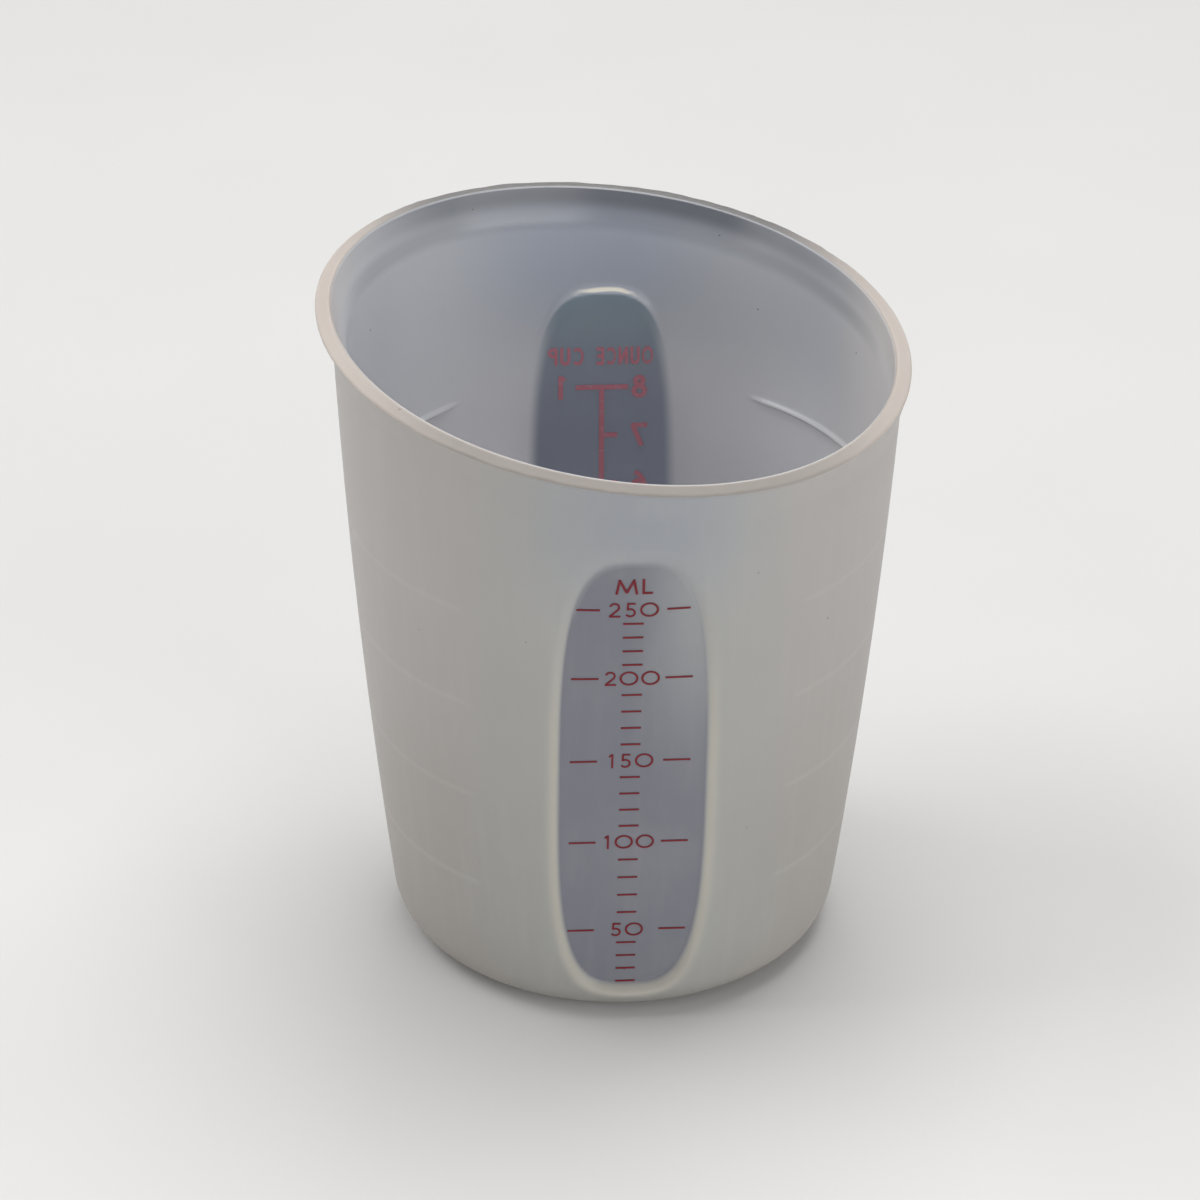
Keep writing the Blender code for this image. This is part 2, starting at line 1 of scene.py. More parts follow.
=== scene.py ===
# %% [markdown]
# # A silicone measuring cup
#
# The real cup is one soft moulding of milky silicone. It has a floor, a tapered wall with
# a flared lip and a slanted mouth, raised fill lines inside, and two smooth windows let
# into the outside, which carry the printed scales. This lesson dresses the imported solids:
# it turns a fine moulding, draws the print with a flat nib, and builds the silicone and
# the ink from nodes. Lengths are metres, +Z is up, and the front window faces -Y.

# %% Load the frame
import json
import math

import bmesh
import bpy
import numpy as np
from mathutils import Matrix, Vector, noise

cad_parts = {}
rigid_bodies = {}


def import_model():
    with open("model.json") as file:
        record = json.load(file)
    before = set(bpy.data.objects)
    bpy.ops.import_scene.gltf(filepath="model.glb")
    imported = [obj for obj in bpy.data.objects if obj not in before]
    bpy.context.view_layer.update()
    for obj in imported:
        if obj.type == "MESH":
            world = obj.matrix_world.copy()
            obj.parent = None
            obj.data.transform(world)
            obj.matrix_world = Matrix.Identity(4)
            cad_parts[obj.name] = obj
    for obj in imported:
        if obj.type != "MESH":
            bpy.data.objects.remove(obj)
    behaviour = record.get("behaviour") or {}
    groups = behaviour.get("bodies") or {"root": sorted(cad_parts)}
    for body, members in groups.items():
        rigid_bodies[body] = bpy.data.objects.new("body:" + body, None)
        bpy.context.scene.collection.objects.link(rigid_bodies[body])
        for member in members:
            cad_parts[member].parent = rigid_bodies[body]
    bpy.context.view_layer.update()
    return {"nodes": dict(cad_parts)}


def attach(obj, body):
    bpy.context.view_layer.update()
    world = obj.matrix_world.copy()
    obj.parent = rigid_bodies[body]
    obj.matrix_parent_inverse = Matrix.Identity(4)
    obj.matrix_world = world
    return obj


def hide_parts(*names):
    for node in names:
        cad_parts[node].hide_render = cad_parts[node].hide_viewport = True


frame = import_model()
print("solids:", len(frame["nodes"]))

# %% [markdown]
# ## The camera
#
# The photograph is taken from a little above, with a long lens. The camera stands on the
# front side, turned a few degrees to the left, and aims at a point half way up the cup.
# A long lens on a far camera keeps the sides of the cup almost parallel, as they are in
# the photograph. The frame leans by half a degree, so the camera rolls by as much.

# %% The camera
MM = 0.001
CAMERA_AWAY = 777.0 * MM
CAMERA_TURN = math.radians(-94.2)
CAMERA_RISE = math.radians(33.2)
CAMERA_ROLL = math.radians(0.57)
CAMERA_AIM = Vector((-2.4, 0.0, 51.4)) * MM
LENS = 156.0


def turned_from_x(azimuth, rise, distance):
    """A point at a distance from the origin, at an azimuth and a rise above the table."""
    flat = distance * math.cos(rise)
    return Vector((flat * math.cos(azimuth), flat * math.sin(azimuth), distance * math.sin(rise)))


camera_place = turned_from_x(CAMERA_TURN, CAMERA_RISE, CAMERA_AWAY)
aimed = (CAMERA_AIM - camera_place).to_track_quat("-Z", "Y")
rolled = aimed @ Matrix.Rotation(CAMERA_ROLL, 3, "Z").to_quaternion()
bpy.ops.object.camera_add(location=camera_place, rotation=rolled.to_euler())
camera = bpy.context.object
camera.data.lens = LENS
camera.data.clip_start = 0.05
bpy.context.scene.camera = camera
print("camera at", [round(value * 1000, 1) for value in camera_place], "mm")

# %% [markdown]
# ## Sizes of the moulding
#
# These are the driving sizes of the cup, the same ones that the solids were made from.
# The side is described by its outer radius at three heights, because it swells a little.
# The mouth is cut level first and slanted afterwards.

# %% Sizes of the moulding
RIM_HEIGHT = 94.5 * MM
FOOT_RADIUS = 31.7 * MM
MIDDLE_HEIGHT, MIDDLE_RADIUS = 50.0 * MM, 37.2 * MM
SHOULDER_HEIGHT, SHOULDER_RADIUS = 90.0 * MM, 40.0 * MM
WALL_THICKNESS = 2.0 * MM
FLOOR_THICKNESS = 2.5 * MM
FOOT_ROUNDING = 7.5 * MM
INNER_ROUNDING = 5.5 * MM
LIP_LENGTH, LIP_BEND, LIP_FLARE = 6.0 * MM, 2.4 * MM, 1.7 * MM
LIP_THICKNESS, LIP_EDGE = 2.3 * MM, 0.45 * MM


def wall_radius(height):
    """Outer radius of the side wall, a parabola through the three stated radii."""
    first = (MIDDLE_RADIUS - FOOT_RADIUS) / MIDDLE_HEIGHT
    second = (SHOULDER_RADIUS - MIDDLE_RADIUS) / (SHOULDER_HEIGHT - MIDDLE_HEIGHT)
    bend = (second - first) / SHOULDER_HEIGHT
    return FOOT_RADIUS + first * height + bend * height * (height - MIDDLE_HEIGHT)


def lip_share(height):
    """0 where the lip starts to bend out, 1 at the rim, with a rounded start."""
    run = np.clip(height - (RIM_HEIGHT - LIP_LENGTH), 0.0, LIP_LENGTH)
    bent = np.minimum(run, LIP_BEND)
    return (bent * bent / (2 * LIP_BEND) + run - bent) / (LIP_LENGTH - LIP_BEND / 2)


def outer_point(height):
    return Vector((wall_radius(height) + LIP_FLARE * float(lip_share(height)), height))


def outer_normal(height, step=0.1 * MM):
    rise = outer_point(height + step) - outer_point(height - step)
    return Vector((rise.y, -rise.x)).normalized()


def inner_point(height):
    thickness = WALL_THICKNESS + (LIP_THICKNESS - WALL_THICKNESS) * float(lip_share(height))
    return outer_point(height) - thickness * outer_normal(height)


print("outside at the foot, middle and shoulder:",
      [round(wall_radius(height) * 1000, 2) for height in (0.0, MIDDLE_HEIGHT, SHOULDER_HEIGHT)], "mm")

# %% [markdown]
# ## The half section
#
# A round cup is a turned form, so all of it comes from half of its section. The section
# runs from the middle of the floor up the inside, over the lip and down the outside to
# the middle of the foot. Rows lie close together where something small happens later,
# such as the fill lines and the ends of the windows, and further apart elsewhere.
# Every point also keeps one number, its place in the wall: 0 is outside and 1 is inside.

# %% The half section
FILL_LINES = [21.0 * MM + 15.7 * MM * count for count in range(4)]
FILL_LINE_HALF_WIDTH, FILL_LINE_RISE = 0.65 * MM, 0.45 * MM
OUTER_ROWS = ((7.0 * MM, 20.0 * MM, 0.42 * MM), (20.0 * MM, 64.0 * MM, 1.2 * MM),
              (64.0 * MM, 84.5 * MM, 0.42 * MM))
INNER_ROWS = ((8.0 * MM, 72.0 * MM, 1.5 * MM), (72.0 * MM, 84.6 * MM, 0.4 * MM),
              (84.6 * MM, 88.5 * MM, 1.0 * MM))
FOOT_STEPS, CORNER_STEPS, LIP_STEPS, EDGE_STEPS, FACE_STEPS = 26, 12, 14, 4, 5


def even(low, high, count):
    return [low + (high - low) * step / count for step in range(count + 1)]


def rows_of(bands, lowest):
    """Heights of the rows in a list of bands, each given as its low end, high end and pitch."""
    heights = [lowest]
    for low, high, pitch in bands:
        heights += even(max(low, lowest), high, round((high - max(low, lowest)) / pitch))[1:]
    return heights


def turn_points(centre, radius, start, end, steps):
    """Points of an arc in the section, between two angles."""
    return [centre + radius * Vector((math.cos(angle), math.sin(angle)))
            for angle in even(start, end, steps)]


def outside_points():
    """The outer face, from the foot's rounding up to where the rim's edge starts."""
    height = FOOT_ROUNDING
    for _ in range(20):
        height = FOOT_ROUNDING * (1 + outer_normal(height).y)
    normal = outer_normal(height)
    centre = outer_point(height) - FOOT_ROUNDING * normal
    points = turn_points(centre, FOOT_ROUNDING, -math.pi / 2, math.atan2(normal.y, normal.x), FOOT_STEPS)
    heights = rows_of(OUTER_ROWS, height)[1:]
    heights += even(heights[-1], RIM_HEIGHT - LIP_EDGE, 24)[1:]
    return points + [outer_point(level) for level in heights]


def inside_points():
    """The inner face, from the floor's corner up to where the rim's edge starts."""
    height = FLOOR_THICKNESS + INNER_ROUNDING
    normal = outer_normal(height)
    side = inner_point(height)
    centre = Vector((side.x - INNER_ROUNDING * normal.x, height))
    points = turn_points(centre, INNER_ROUNDING, -math.pi / 2, math.atan2(normal.y, normal.x), CORNER_STEPS)
    heights = rows_of(INNER_ROWS, points[-1].y)[1:]
    heights += even(heights[-1], RIM_HEIGHT - LIP_EDGE, LIP_STEPS)[1:]
    for line in FILL_LINES:
        heights = [level for level in heights if abs(level - line) > FILL_LINE_HALF_WIDTH]
        heights += even(line - FILL_LINE_HALF_WIDTH, line + FILL_LINE_HALF_WIDTH, 8)
    return points + [inner_point(level) for level in sorted(heights)]


def rim_points():
    """The rim's end face, from its inner edge to its outer edge, both rounded."""
    out, inside = outer_point(RIM_HEIGHT), inner_point(RIM_HEIGHT)
    normal = (out - inside).normalized()
    up = Vector((-normal.y, normal.x))
    lean = math.atan2(up.y, up.x)
    inner_centre, outer_centre = inside + LIP_EDGE * (normal - up), out - LIP_EDGE * (normal + up)
    inner_edge = turn_points(inner_centre, LIP_EDGE, lean + math.pi / 2, lean, EDGE_STEPS)
    outer_edge = turn_points(outer_centre, LIP_EDGE, lean, lean - math.pi / 2, EDGE_STEPS)
    face = [inner_edge[-1].lerp(outer_edge[0], step / FACE_STEPS) for step in range(1, FACE_STEPS)]
    return inner_edge + face + outer_edge


inside, rim, outside = inside_points(), rim_points(), outside_points()
floor_middle = [Vector((inside[0].x * share, FLOOR_THICKNESS)) for share in (0.0, 0.35, 0.7)]
foot_middle = [Vector((outside[0].x * share, 0.0)) for share in (0.96, 0.6, 0.3, 0.0)]
section = floor_middle + inside + rim + outside[::-1] + foot_middle
in_wall = [1.0] * (len(floor_middle) + len(inside)) + even(1.0, 0.0, len(rim) - 1)
in_wall += [0.0] * (len(outside) + len(foot_middle))
print("points in the half section:", len(section))

# %% [markdown]
# ## Turning the moulding
#
# The half section is a chain of edges, and Spin turns it about the Z axis in one move,
# as a lathe would. The first and last ring meet, and the ring of points at the middle of
# the floor and of the foot is really one point each, so doubles are merged before the
# normals are made to face outwards.

# %% Turning the moulding
TURN_STEPS = 288


def deselect_everything():
    if bpy.context.object and bpy.context.object.mode != "OBJECT":
        bpy.ops.object.mode_set(mode="OBJECT")
    bpy.ops.object.select_all(action="DESELECT")


def make_active(item):
    deselect_everything()
    item.select_set(True)
    bpy.context.view_layer.objects.active = item


def new_piece(name, points=(), edges=(), faces=()):
    """An object with its own mesh, linked, selected and active."""
    mesh = bpy.data.meshes.new(name)
    mesh.from_pydata([tuple(point) for point in points], list(edges), list(faces))
    piece = bpy.data.objects.new(name, mesh)
    bpy.context.scene.collection.objects.link(piece)
    make_active(piece)
    return piece


cup = new_piece("cup_moulding", [(point.x, 0.0, point.y) for point in section],
                [(step, step + 1) for step in range(len(section) - 1)])
place_in_wall = cup.data.attributes.new("place_in_wall", "FLOAT", "POINT")
place_in_wall.data.foreach_set("value", in_wall)
bpy.ops.object.mode_set(mode="EDIT")
bpy.ops.mesh.select_all(action="SELECT")
bpy.ops.mesh.spin(steps=TURN_STEPS, angle=2 * math.pi, center=(0, 0, 0), axis=(0, 0, 1))
bpy.ops.mesh.select_all(action="SELECT")
bpy.ops.mesh.remove_doubles(threshold=0.005 * MM)
bpy.ops.mesh.normals_make_consistent(inside=False)
bpy.ops.object.mode_set(mode="OBJECT")
print("turned:", len(cup.data.vertices), "vertices,", len(cup.data.polygons), "faces")

# %% [markdown]
# ## The slanted mouth, the fill lines and the windows
#
# What isn't round comes next. No operator slants a mouth while it keeps the wall's taper,
# so these shapes are small formulas that move each vertex. The turned steps are first
# crowded together near the two windows, where the detail is. Then the inner rows at the
# fill lines swell inwards, and the top rows rise or sink with the slant of the rim.
# Each window is a flat panel in the round wall, which is why its printed lines look
# straight. The outer face sinks to it with a soft shoulder all round, and the inner face
# stands proud at it, with a small ledge over its top. The front panel turns round
# towards its top, where it runs out into the wall.

# %% The slanted mouth, the fill lines and the windows
RIM_SLANT, HIGH_SIDE = 5.6 * MM, math.radians(141.0)
RIM_BOW, BOW_SIDE = 0.5 * MM, math.radians(10.0)
RIM_LIFT, LIFT_SIDE = 0.9 * MM, math.radians(-96.0)
LEVEL_HEIGHT = 73.0 * MM
LIP_FLARE_SWING = 0.7 * MM
FILL_LINE_HALF_SPAN, FILL_LINE_FADE = math.radians(52.0), math.radians(2.0)
WINDOW_WIDTH, WINDOW_BOTTOM = 20.7 * MM, 5.4 * MM
WINDOW_DEPTH, WINDOW_THICKNESS, WINDOW_MARGIN = 2.1 * MM, 1.2 * MM, 1.0 * MM
FRONT_WINDOW_TOP, BACK_WINDOW_TOP = 79.4 * MM, 82.0 * MM
TOP_TURN_LENGTH, TOP_TURN, TOP_DEPTH = 34.4 * MM, 0.72, 0.35 * MM
WINDOW_ROUNDNESS = 3.3
SHOULDER_IN, SHOULDER_OUT, SOFT_TOP_OUT, LEDGE = 0.2 * MM, 1.4 * MM, 1.2 * MM, 0.5 * MM
SHOULDER_CURVE, SOFT_TOP_LENGTH = 0.8, 9.0 * MM
INSIDE_FROM, OUTSIDE_TO = 0.99, 0.01


def smooth_step(value, low, high):
    share = np.clip((value - low) / (high - low), 0.0, 1.0)
    return share * share * (3 - 2 * share)


def beyond_window(x, z, top):
    """Distance outside the window's outline, and less than 0 inside it."""
    half_width, half_height = WINDOW_WIDTH / 2, (top - WINDOW_BOTTOM) / 2
    across = np.abs(x) / half_width
    along = np.abs(z - (top + WINDOW_BOTTOM) / 2) / half_height
    size = np.maximum(across ** WINDOW_ROUNDNESS + along ** WINDOW_ROUNDNESS, 1e-9)
    reach = size ** (1 / WINDOW_ROUNDNESS)
    slope_x = (across / reach) ** (WINDOW_ROUNDNESS - 1) / half_width
    slope_z = (along / reach) ** (WINDOW_ROUNDNESS - 1) / half_height
    return (reach - 1) / np.maximum(np.hypot(slope_x, slope_z), 1.0)


def panel_face(across, height, front):
    """Distance outwards from the middle of the cup to a panel's outer face; front is 1 or 0."""
    flat = wall_radius(height) - WINDOW_DEPTH
    rounded = np.sqrt(np.maximum((wall_radius(height) - TOP_DEPTH) ** 2 - across ** 2, 0.0))
    run = np.clip((height - FRONT_WINDOW_TOP) / TOP_TURN_LENGTH + 1.0, 0.0, 1.0)
    return flat + (rounded - flat) * TOP_TURN * run ** 1.5 * front


def numbers_of(mesh, layer, field, width):
    """A mesh layer's numbers as an array with one row for each vertex."""
    numbers = np.empty(len(mesh.vertices) * width)
    layer.foreach_get(field, numbers)
    return numbers.reshape(-1, width) if width > 1 else numbers


print("the front panel's face, low and high:",
      [round(float(panel_face(0.0, height, 1.0)) / MM, 2) for height in (10.0 * MM, 70.0 * MM)], "mm out")

# %% [markdown]
# ## Moving the vertices
#
# All vertices are moved at once, as arrays of numbers. The number that each point keeps
# from the section, its place in the wall, tells which face it belongs to. At the end the
# rim gets a trace of ragged flash from a noise, as the mould leaves on the real lip, and
# each point keeps how far it lay under the level rim, which the material reads.

# %% Moving the vertices
CROWDING, LIFT_NARROWNESS = 0.75, 3
ABOVE_ROUNDING = 0.7
FLASH_HEIGHT, FLASH_SCALE = 0.13 * MM, 420.0
RIM_FACE_FROM, RIM_FACE_TO = 0.05, 0.6

places = numbers_of(cup.data, cup.data.vertices, "co", 3)
in_wall = numbers_of(cup.data, cup.data.attributes["place_in_wall"].data, "value", 1)
x, y, height = places.T
radius, azimuth = np.hypot(x, y), np.arctan2(y, x)
azimuth = azimuth - CROWDING * np.sin(2 * azimuth - math.pi) / 2

from_side = np.abs(np.arcsin(np.sin(azimuth)))
line_end = FILL_LINE_HALF_SPAN - FILL_LINE_FADE, FILL_LINE_HALF_SPAN + FILL_LINE_FADE
along_line = 1 - smooth_step(from_side, *line_end)
in_side_wall = (in_wall > INSIDE_FROM) & (radius > FOOT_RADIUS / 2)
for line in FILL_LINES:
    from_line = np.clip(np.abs(height - inner_point(line).y) / FILL_LINE_HALF_WIDTH, 0.0, 1.0)
    bulge = np.cos(from_line * math.pi / 2) ** 2
    radius = radius - FILL_LINE_RISE * bulge * along_line * in_side_wall

lip = lip_share(height)
slanting = smooth_step(height, LEVEL_HEIGHT, RIM_HEIGHT - LIP_LENGTH)
rise = RIM_SLANT * np.cos(azimuth - HIGH_SIDE) + RIM_BOW * np.cos(2 * (azimuth - BOW_SIDE))
rise = rise + RIM_LIFT * np.maximum(np.cos(azimuth - LIFT_SIDE), 0.0) ** LIFT_NARROWNESS
raised = height + rise * slanting
radius = radius + (wall_radius(raised) - wall_radius(height)) * (radius > FOOT_RADIUS * ABOVE_ROUNDING)
radius = radius + LIP_FLARE_SWING * np.cos(azimuth - HIGH_SIDE) * lip

x, y = radius * np.cos(azimuth), radius * np.sin(azimuth)
front = 1.0 * (y < 0)
beyond = beyond_window(x, raised, np.where(y < 0, FRONT_WINDOW_TOP, BACK_WINDOW_TOP))
soft_top = SOFT_TOP_OUT * smooth_step(raised, FRONT_WINDOW_TOP - SOFT_TOP_LENGTH, FRONT_WINDOW_TOP) * front
climb = smooth_step(beyond, -SHOULDER_IN - soft_top / 3, SHOULDER_OUT + soft_top) ** SHOULDER_CURVE
sunk = np.maximum(np.abs(y) - panel_face(x, raised, front), 0.0) * (1 - climb) * (in_wall < OUTSIDE_TO)
panel_inside = panel_face(x, raised, 0.0) - WINDOW_THICKNESS
on_panel = 1 - smooth_step(beyond, WINDOW_MARGIN - LEDGE / 2, WINDOW_MARGIN + LEDGE / 2)
proud = np.maximum(np.abs(y) - panel_inside, 0.0) * on_panel
proud = proud * (in_wall > INSIDE_FROM) * (raised > FLOOR_THICKNESS + MM)
y = y - np.sign(y) * (sunk + proud)

places = np.stack((x, y, raised), axis=1)
on_rim_face = (in_wall > RIM_FACE_FROM) & (in_wall < RIM_FACE_TO)
for index in np.flatnonzero(on_rim_face):
    ragged = noise.noise(Vector(places[index]) * FLASH_SCALE)
    places[index, 2] += FLASH_HEIGHT * ragged * math.sin(math.pi * in_wall[index] / RIM_FACE_TO)
cup.data.vertices.foreach_set("co", places.ravel())
cup.data.attributes.new("under_rim", "FLOAT", "POINT").data.foreach_set("value", RIM_HEIGHT - height)
cup.data.update()
make_active(cup)
bpy.ops.object.shade_smooth()
rim_heights = raised[on_rim_face] / MM
print("panels sunk", round(sunk.max() / MM, 2), "mm and proud", round(proud.max() / MM, 2), "mm")
print("rim from", round(rim_heights.min(), 1), "to", round(rim_heights.max(), 1), "mm")

# %% [markdown]
# ## Writing shader maths
#
# A material's nodes are easier to read as expressions. This small class wraps a socket:
# arithmetic on it adds Math nodes, and its node method adds any other node with its
# settings and the values or links of its sockets.

# %% Writing shader maths
class Reading:
    """A number, vector or colour that a material's nodes work out at each point."""

    def __init__(self, tree, socket=None):
        self.tree, self.socket = tree, socket

    def node(self, kind, settings=None, inputs=None, output=0):
        made = self.tree.nodes.new(kind)
        for name, setting in (settings or {}).items():
            setattr(made, name, setting)
        for key, value in (inputs or {}).items():
            if isinstance(value, Reading):
                self.tree.links.new(value.socket, made.inputs[key])
            else:
                made.inputs[key].default_value = value
        return Reading(self.tree, made.outputs[output]) if made.outputs else made

    def maths(self, operation, *values):
        return self.node("ShaderNodeMath", {"operation": operation}, dict(enumerate(values)))

    def __add__(self, other):
        return self.maths("ADD", self, other)

    def __sub__(self, other):
        return self.maths("SUBTRACT", self, other)

    def __rsub__(self, other):
        return self.maths("SUBTRACT", other, self)

    def __mul__(self, other):
        return self.maths("MULTIPLY", self, other)

    def __truediv__(self, other):
        return self.maths("DIVIDE", self, other)

    def __pow__(self, other):
        return self.maths("POWER", self, other)

    def __abs__(self):
        return self.maths("ABSOLUTE", self)

    __radd__, __rmul__ = __add__, __mul__

    def smooth(self, low, high):
        """0 below low, 1 above high, and smooth between them."""
        return self.node("ShaderNodeMapRange", {"interpolation_type": "SMOOTHSTEP"},
                         {"Value": self, "From Min": low, "From Max": high})

    def fade(self, low, high):
        """1 below low, 0 above high, and smooth between them."""
        return 1.0 - self.smooth(low, high)

    def tint(self, colour, other, share):
        """One colour where share is 0, the other where it is 1."""
        return self.node("ShaderNodeMix", {"data_type": "RGBA"}, {0: share, 6: colour, 7: other}, output=2)

    def under(self, *layers):
        """This colour with others laid over it in turn, each given with its share."""
        colour = self
        for other, share in layers:
            colour = self.tint(colour, other, share)
        return colour

    def noise(self, place, scale, detail=2.0, roughness=0.5):
        return self.node("ShaderNodeTexNoise", {}, {"Vector": place, "Scale": scale, "Detail": detail,
                                                    "Roughness": roughness})


def linear(red, green, blue):
    """A colour given as 0 to 255, as a picture shows it, in the linear values of a shader."""
    shares = [value / 255 for value in (red, green, blue)]
    straight = [share / 12.92 if share <= 0.04045 else ((share + 0.055) / 1.055) ** 2.4 for share in shares]
    return (*straight, 1.0)


def new_material(name):
    """A material with only its output node, and a Reading to build from."""
    material = bpy.data.materials.new(name)
    material.use_nodes = True
    material.node_tree.nodes.clear()
    start = Reading(material.node_tree)
    return material, start


def finish_material(start, constants, inputs):
    """Add the shader, its constants and its varying inputs, and join it to the output."""
    surface = start.node("ShaderNodeBsdfPrincipled", {}, {**constants, **inputs})
    start.node("ShaderNodeOutputMaterial", {}, {"Surface": surface})


print("a middle grey in linear values:", [round(value, 3) for value in linear(128, 128, 128)])

# %% [markdown]
# ## Milky silicone
#
# Silicone of this kind scatters light in its depth, so it looks milky: warm grey outside,
# cooler inside, and darker in the windows, where the wall is thin and polished and lets
# the dark through. The outside is frosted by the mould and the inside is glossy.
# First come its colours, as a picture shows them.

# %% Milky silicone
WALL_LOW_SHADED, WALL_HIGH, WALL_COOL = linear(156, 152, 147), linear(168, 164, 161), linear(156, 159, 164)
WALL_MIDDLE = linear(164, 170, 168)
INNER_LOW_LIGHT, INNER_HIGH, INNER_COOL = linear(232, 231, 233), linear(181, 183, 187), linear(162, 169, 182)
INNER_RIGHT_LIGHT, INNER_EDGE = linear(202, 202, 205), linear(216, 211, 206)
PANE, PANE_LIGHT = linear(122, 123, 132), linear(152, 154, 156)
PANE_INSIDE_LOW, PANE_INSIDE_TOP = linear(142, 148, 161), linear(131, 144, 153)
SHOULDER_LIGHT, RIM_TINT, RIM_FAR_SHADE = linear(182, 178, 167), linear(142, 136, 131), linear(112, 111, 110)
RIM_SIDE, RIM_LINE = linear(176, 167, 160), linear(174, 166, 156)
LINE_TINT, LEDGE_HIGHLIGHT, FOOT_TINT = linear(186, 184, 180), linear(236, 231, 217), linear(154, 146, 138)
LIP_FAR_SHADE, LIP_NEAR = linear(104, 107, 114), linear(184, 178, 175)
CLOUD_TINT, STREAK, SPECK_TINT = linear(190, 188, 184), linear(180, 178, 174), linear(70, 62, 58)
print("colours of the wall, low and high:", [round(value, 3) for value in WALL_LOW_SHADED[:3] + WALL_HIGH[:3]])

# %% [markdown]
# ## Zones of the moulding
#
# Each zone is a mask worked out from the place of a point: 1 in the zone, 0 outside it.
# The two numbers of a mask are where it starts and where it ends, and it changes smoothly
# between them. The windows' outline is the same rounded oval that shaped the panels, and
# the distance outside it gives the panes, the painted light along their shoulders and the
# painted highlight on the ledge.

# %% Zones of the moulding
silicone, start = new_material("moulded_silicone")
place = start.node("ShaderNodeTexCoord", output=3)
split = start.node("ShaderNodeSeparateXYZ", {}, {0: place})
across, outwards, upwards = [Reading(start.tree, split.socket.node.outputs[axis]) for axis in range(3)]
wall_side = start.node("ShaderNodeAttribute", {"attribute_name": "place_in_wall"}, output=2)
under_rim = start.node("ShaderNodeAttribute", {"attribute_name": "under_rim"}, output=2)
is_inside = wall_side.smooth(0.9, 1.0)
is_outside = wall_side.fade(0.0, 0.1)
is_rim = 1.0 - is_inside - is_outside
is_front = outwards.fade(-1.0 * MM, 1.0 * MM)
far_side = outwards.smooth(-5.0 * MM, 32.0 * MM)

window_top = FRONT_WINDOW_TOP * is_front + BACK_WINDOW_TOP * (1.0 - is_front)
half_height = (window_top - WINDOW_BOTTOM) / 2.0
share_x = abs(across) / (WINDOW_WIDTH / 2)
share_z = abs(upwards - (window_top + WINDOW_BOTTOM) / 2.0) / half_height
reach = (share_x ** WINDOW_ROUNDNESS + share_z ** WINDOW_ROUNDNESS) ** (1 / WINDOW_ROUNDNESS)
slope_x = (share_x / reach) ** (WINDOW_ROUNDNESS - 1) / (WINDOW_WIDTH / 2)
slope_z = (share_z / reach) ** (WINDOW_ROUNDNESS - 1) / half_height
beyond = (reach - 1.0) / (slope_x * slope_x + slope_z * slope_z) ** 0.5

top_softness = upwards.smooth(66.0 * MM, 79.0 * MM) * is_front
pane_outside = beyond.fade(-0.3 * MM, 0.25 * MM)
soft_pane = beyond.fade(-1.2 * MM, 0.6 * MM)
pane_outside = pane_outside * (1.0 - top_softness) + soft_pane * top_softness
crisp_top = upwards.smooth(72.0 * MM, 81.0 * MM)
pane_inside = beyond.fade(-1.1 * MM, 1.1 * MM) * (1.0 - crisp_top)
pane_inside = pane_inside + beyond.fade(0.3 * MM, 0.8 * MM) * crisp_top
# Painted light: a bright band along the lower sides and the bottom of each window, where light gathers in the
# thicker silicone of the shoulder.
shoulder_light = beyond.smooth(0.0 * MM, 0.5 * MM) * beyond.fade(0.7 * MM, 2.4 * MM)
shoulder_light = shoulder_light * upwards.fade(48.0 * MM, 74.0 * MM) * 0.72
# Painted highlight on the ledge over the back pane's top, where it faces up and catches light.
ledge_light = beyond.smooth(0.7 * MM, 0.82 * MM) * beyond.fade(0.98 * MM, 1.18 * MM)
ledge_light = ledge_light * abs(across - 0.6 * MM).fade(2.0 * MM, 5.6 * MM)
ledge_light = ledge_light * upwards.smooth(76.0 * MM, 79.0 * MM) * (1.0 - is_front)

fill_pitch = FILL_LINES[1] - FILL_LINES[0]
steps_up = (upwards - (FILL_LINES[0] - fill_pitch / 2)) / fill_pitch
from_line = abs(steps_up.maths("FRACT", steps_up) - 0.5) * fill_pitch
line_mask = from_line.fade(0.15 * MM, 0.7 * MM) * abs(across / outwards).smooth(0.74, 0.82)
line_mask = line_mask * upwards.smooth(14.0 * MM, 16.0 * MM) * upwards.fade(74.0 * MM, 75.0 * MM)

print("nodes for the zones:", len(silicone.node_tree.nodes))

# %% [markdown]
# ## Colours of the outside
#
# The outer wall is a little darker at the foot and cooler near the top of the front.
# Its darkening downwards is painted shade, for light that falls from above.
# Three noises are made here too, for the finish below: slow clouds in the silicone, fine
# frost from the mould, and faint streaks that are drawn out along the height.

# %% Colours of the outside
cloud = start.noise(place, 55.0, 3.0)
frost = start.noise(place, 2600.0, 2.0)
drawn_out = start.node("ShaderNodeMapping", {}, {"Vector": place, "Scale": (1.0, 1.0, 0.05)})
streaks = start.noise(drawn_out, 480.0, 2.0)
cool_top = abs(across - 1.0 * MM).fade(3.0 * MM, 22.0 * MM) * upwards.smooth(66.0 * MM, 84.0 * MM) * is_front
lit_pane = across.smooth(-2.0 * MM, 9.0 * MM) * upwards.smooth(36.0 * MM, 72.0 * MM) * is_front
# Painted shade: the outer wall darkens from its top down to its foot, as the light falls from above.
wall_colour = start.tint(WALL_LOW_SHADED, WALL_HIGH, upwards.smooth(5.0 * MM, 80.0 * MM)).under(
    (WALL_MIDDLE, abs(across).fade(8.0 * MM, 28.0 * MM) * 0.4),
    (WALL_COOL, cool_top),
    (FOOT_TINT, upwards.fade(1.0 * MM, 13.0 * MM) * 0.35),
    (LINE_TINT, line_mask * 0.16),
    (SHOULDER_LIGHT, shoulder_light),
    (start.tint(PANE, PANE_LIGHT, lit_pane), pane_outside))
print("nodes with the outside:", len(silicone.node_tree.nodes))
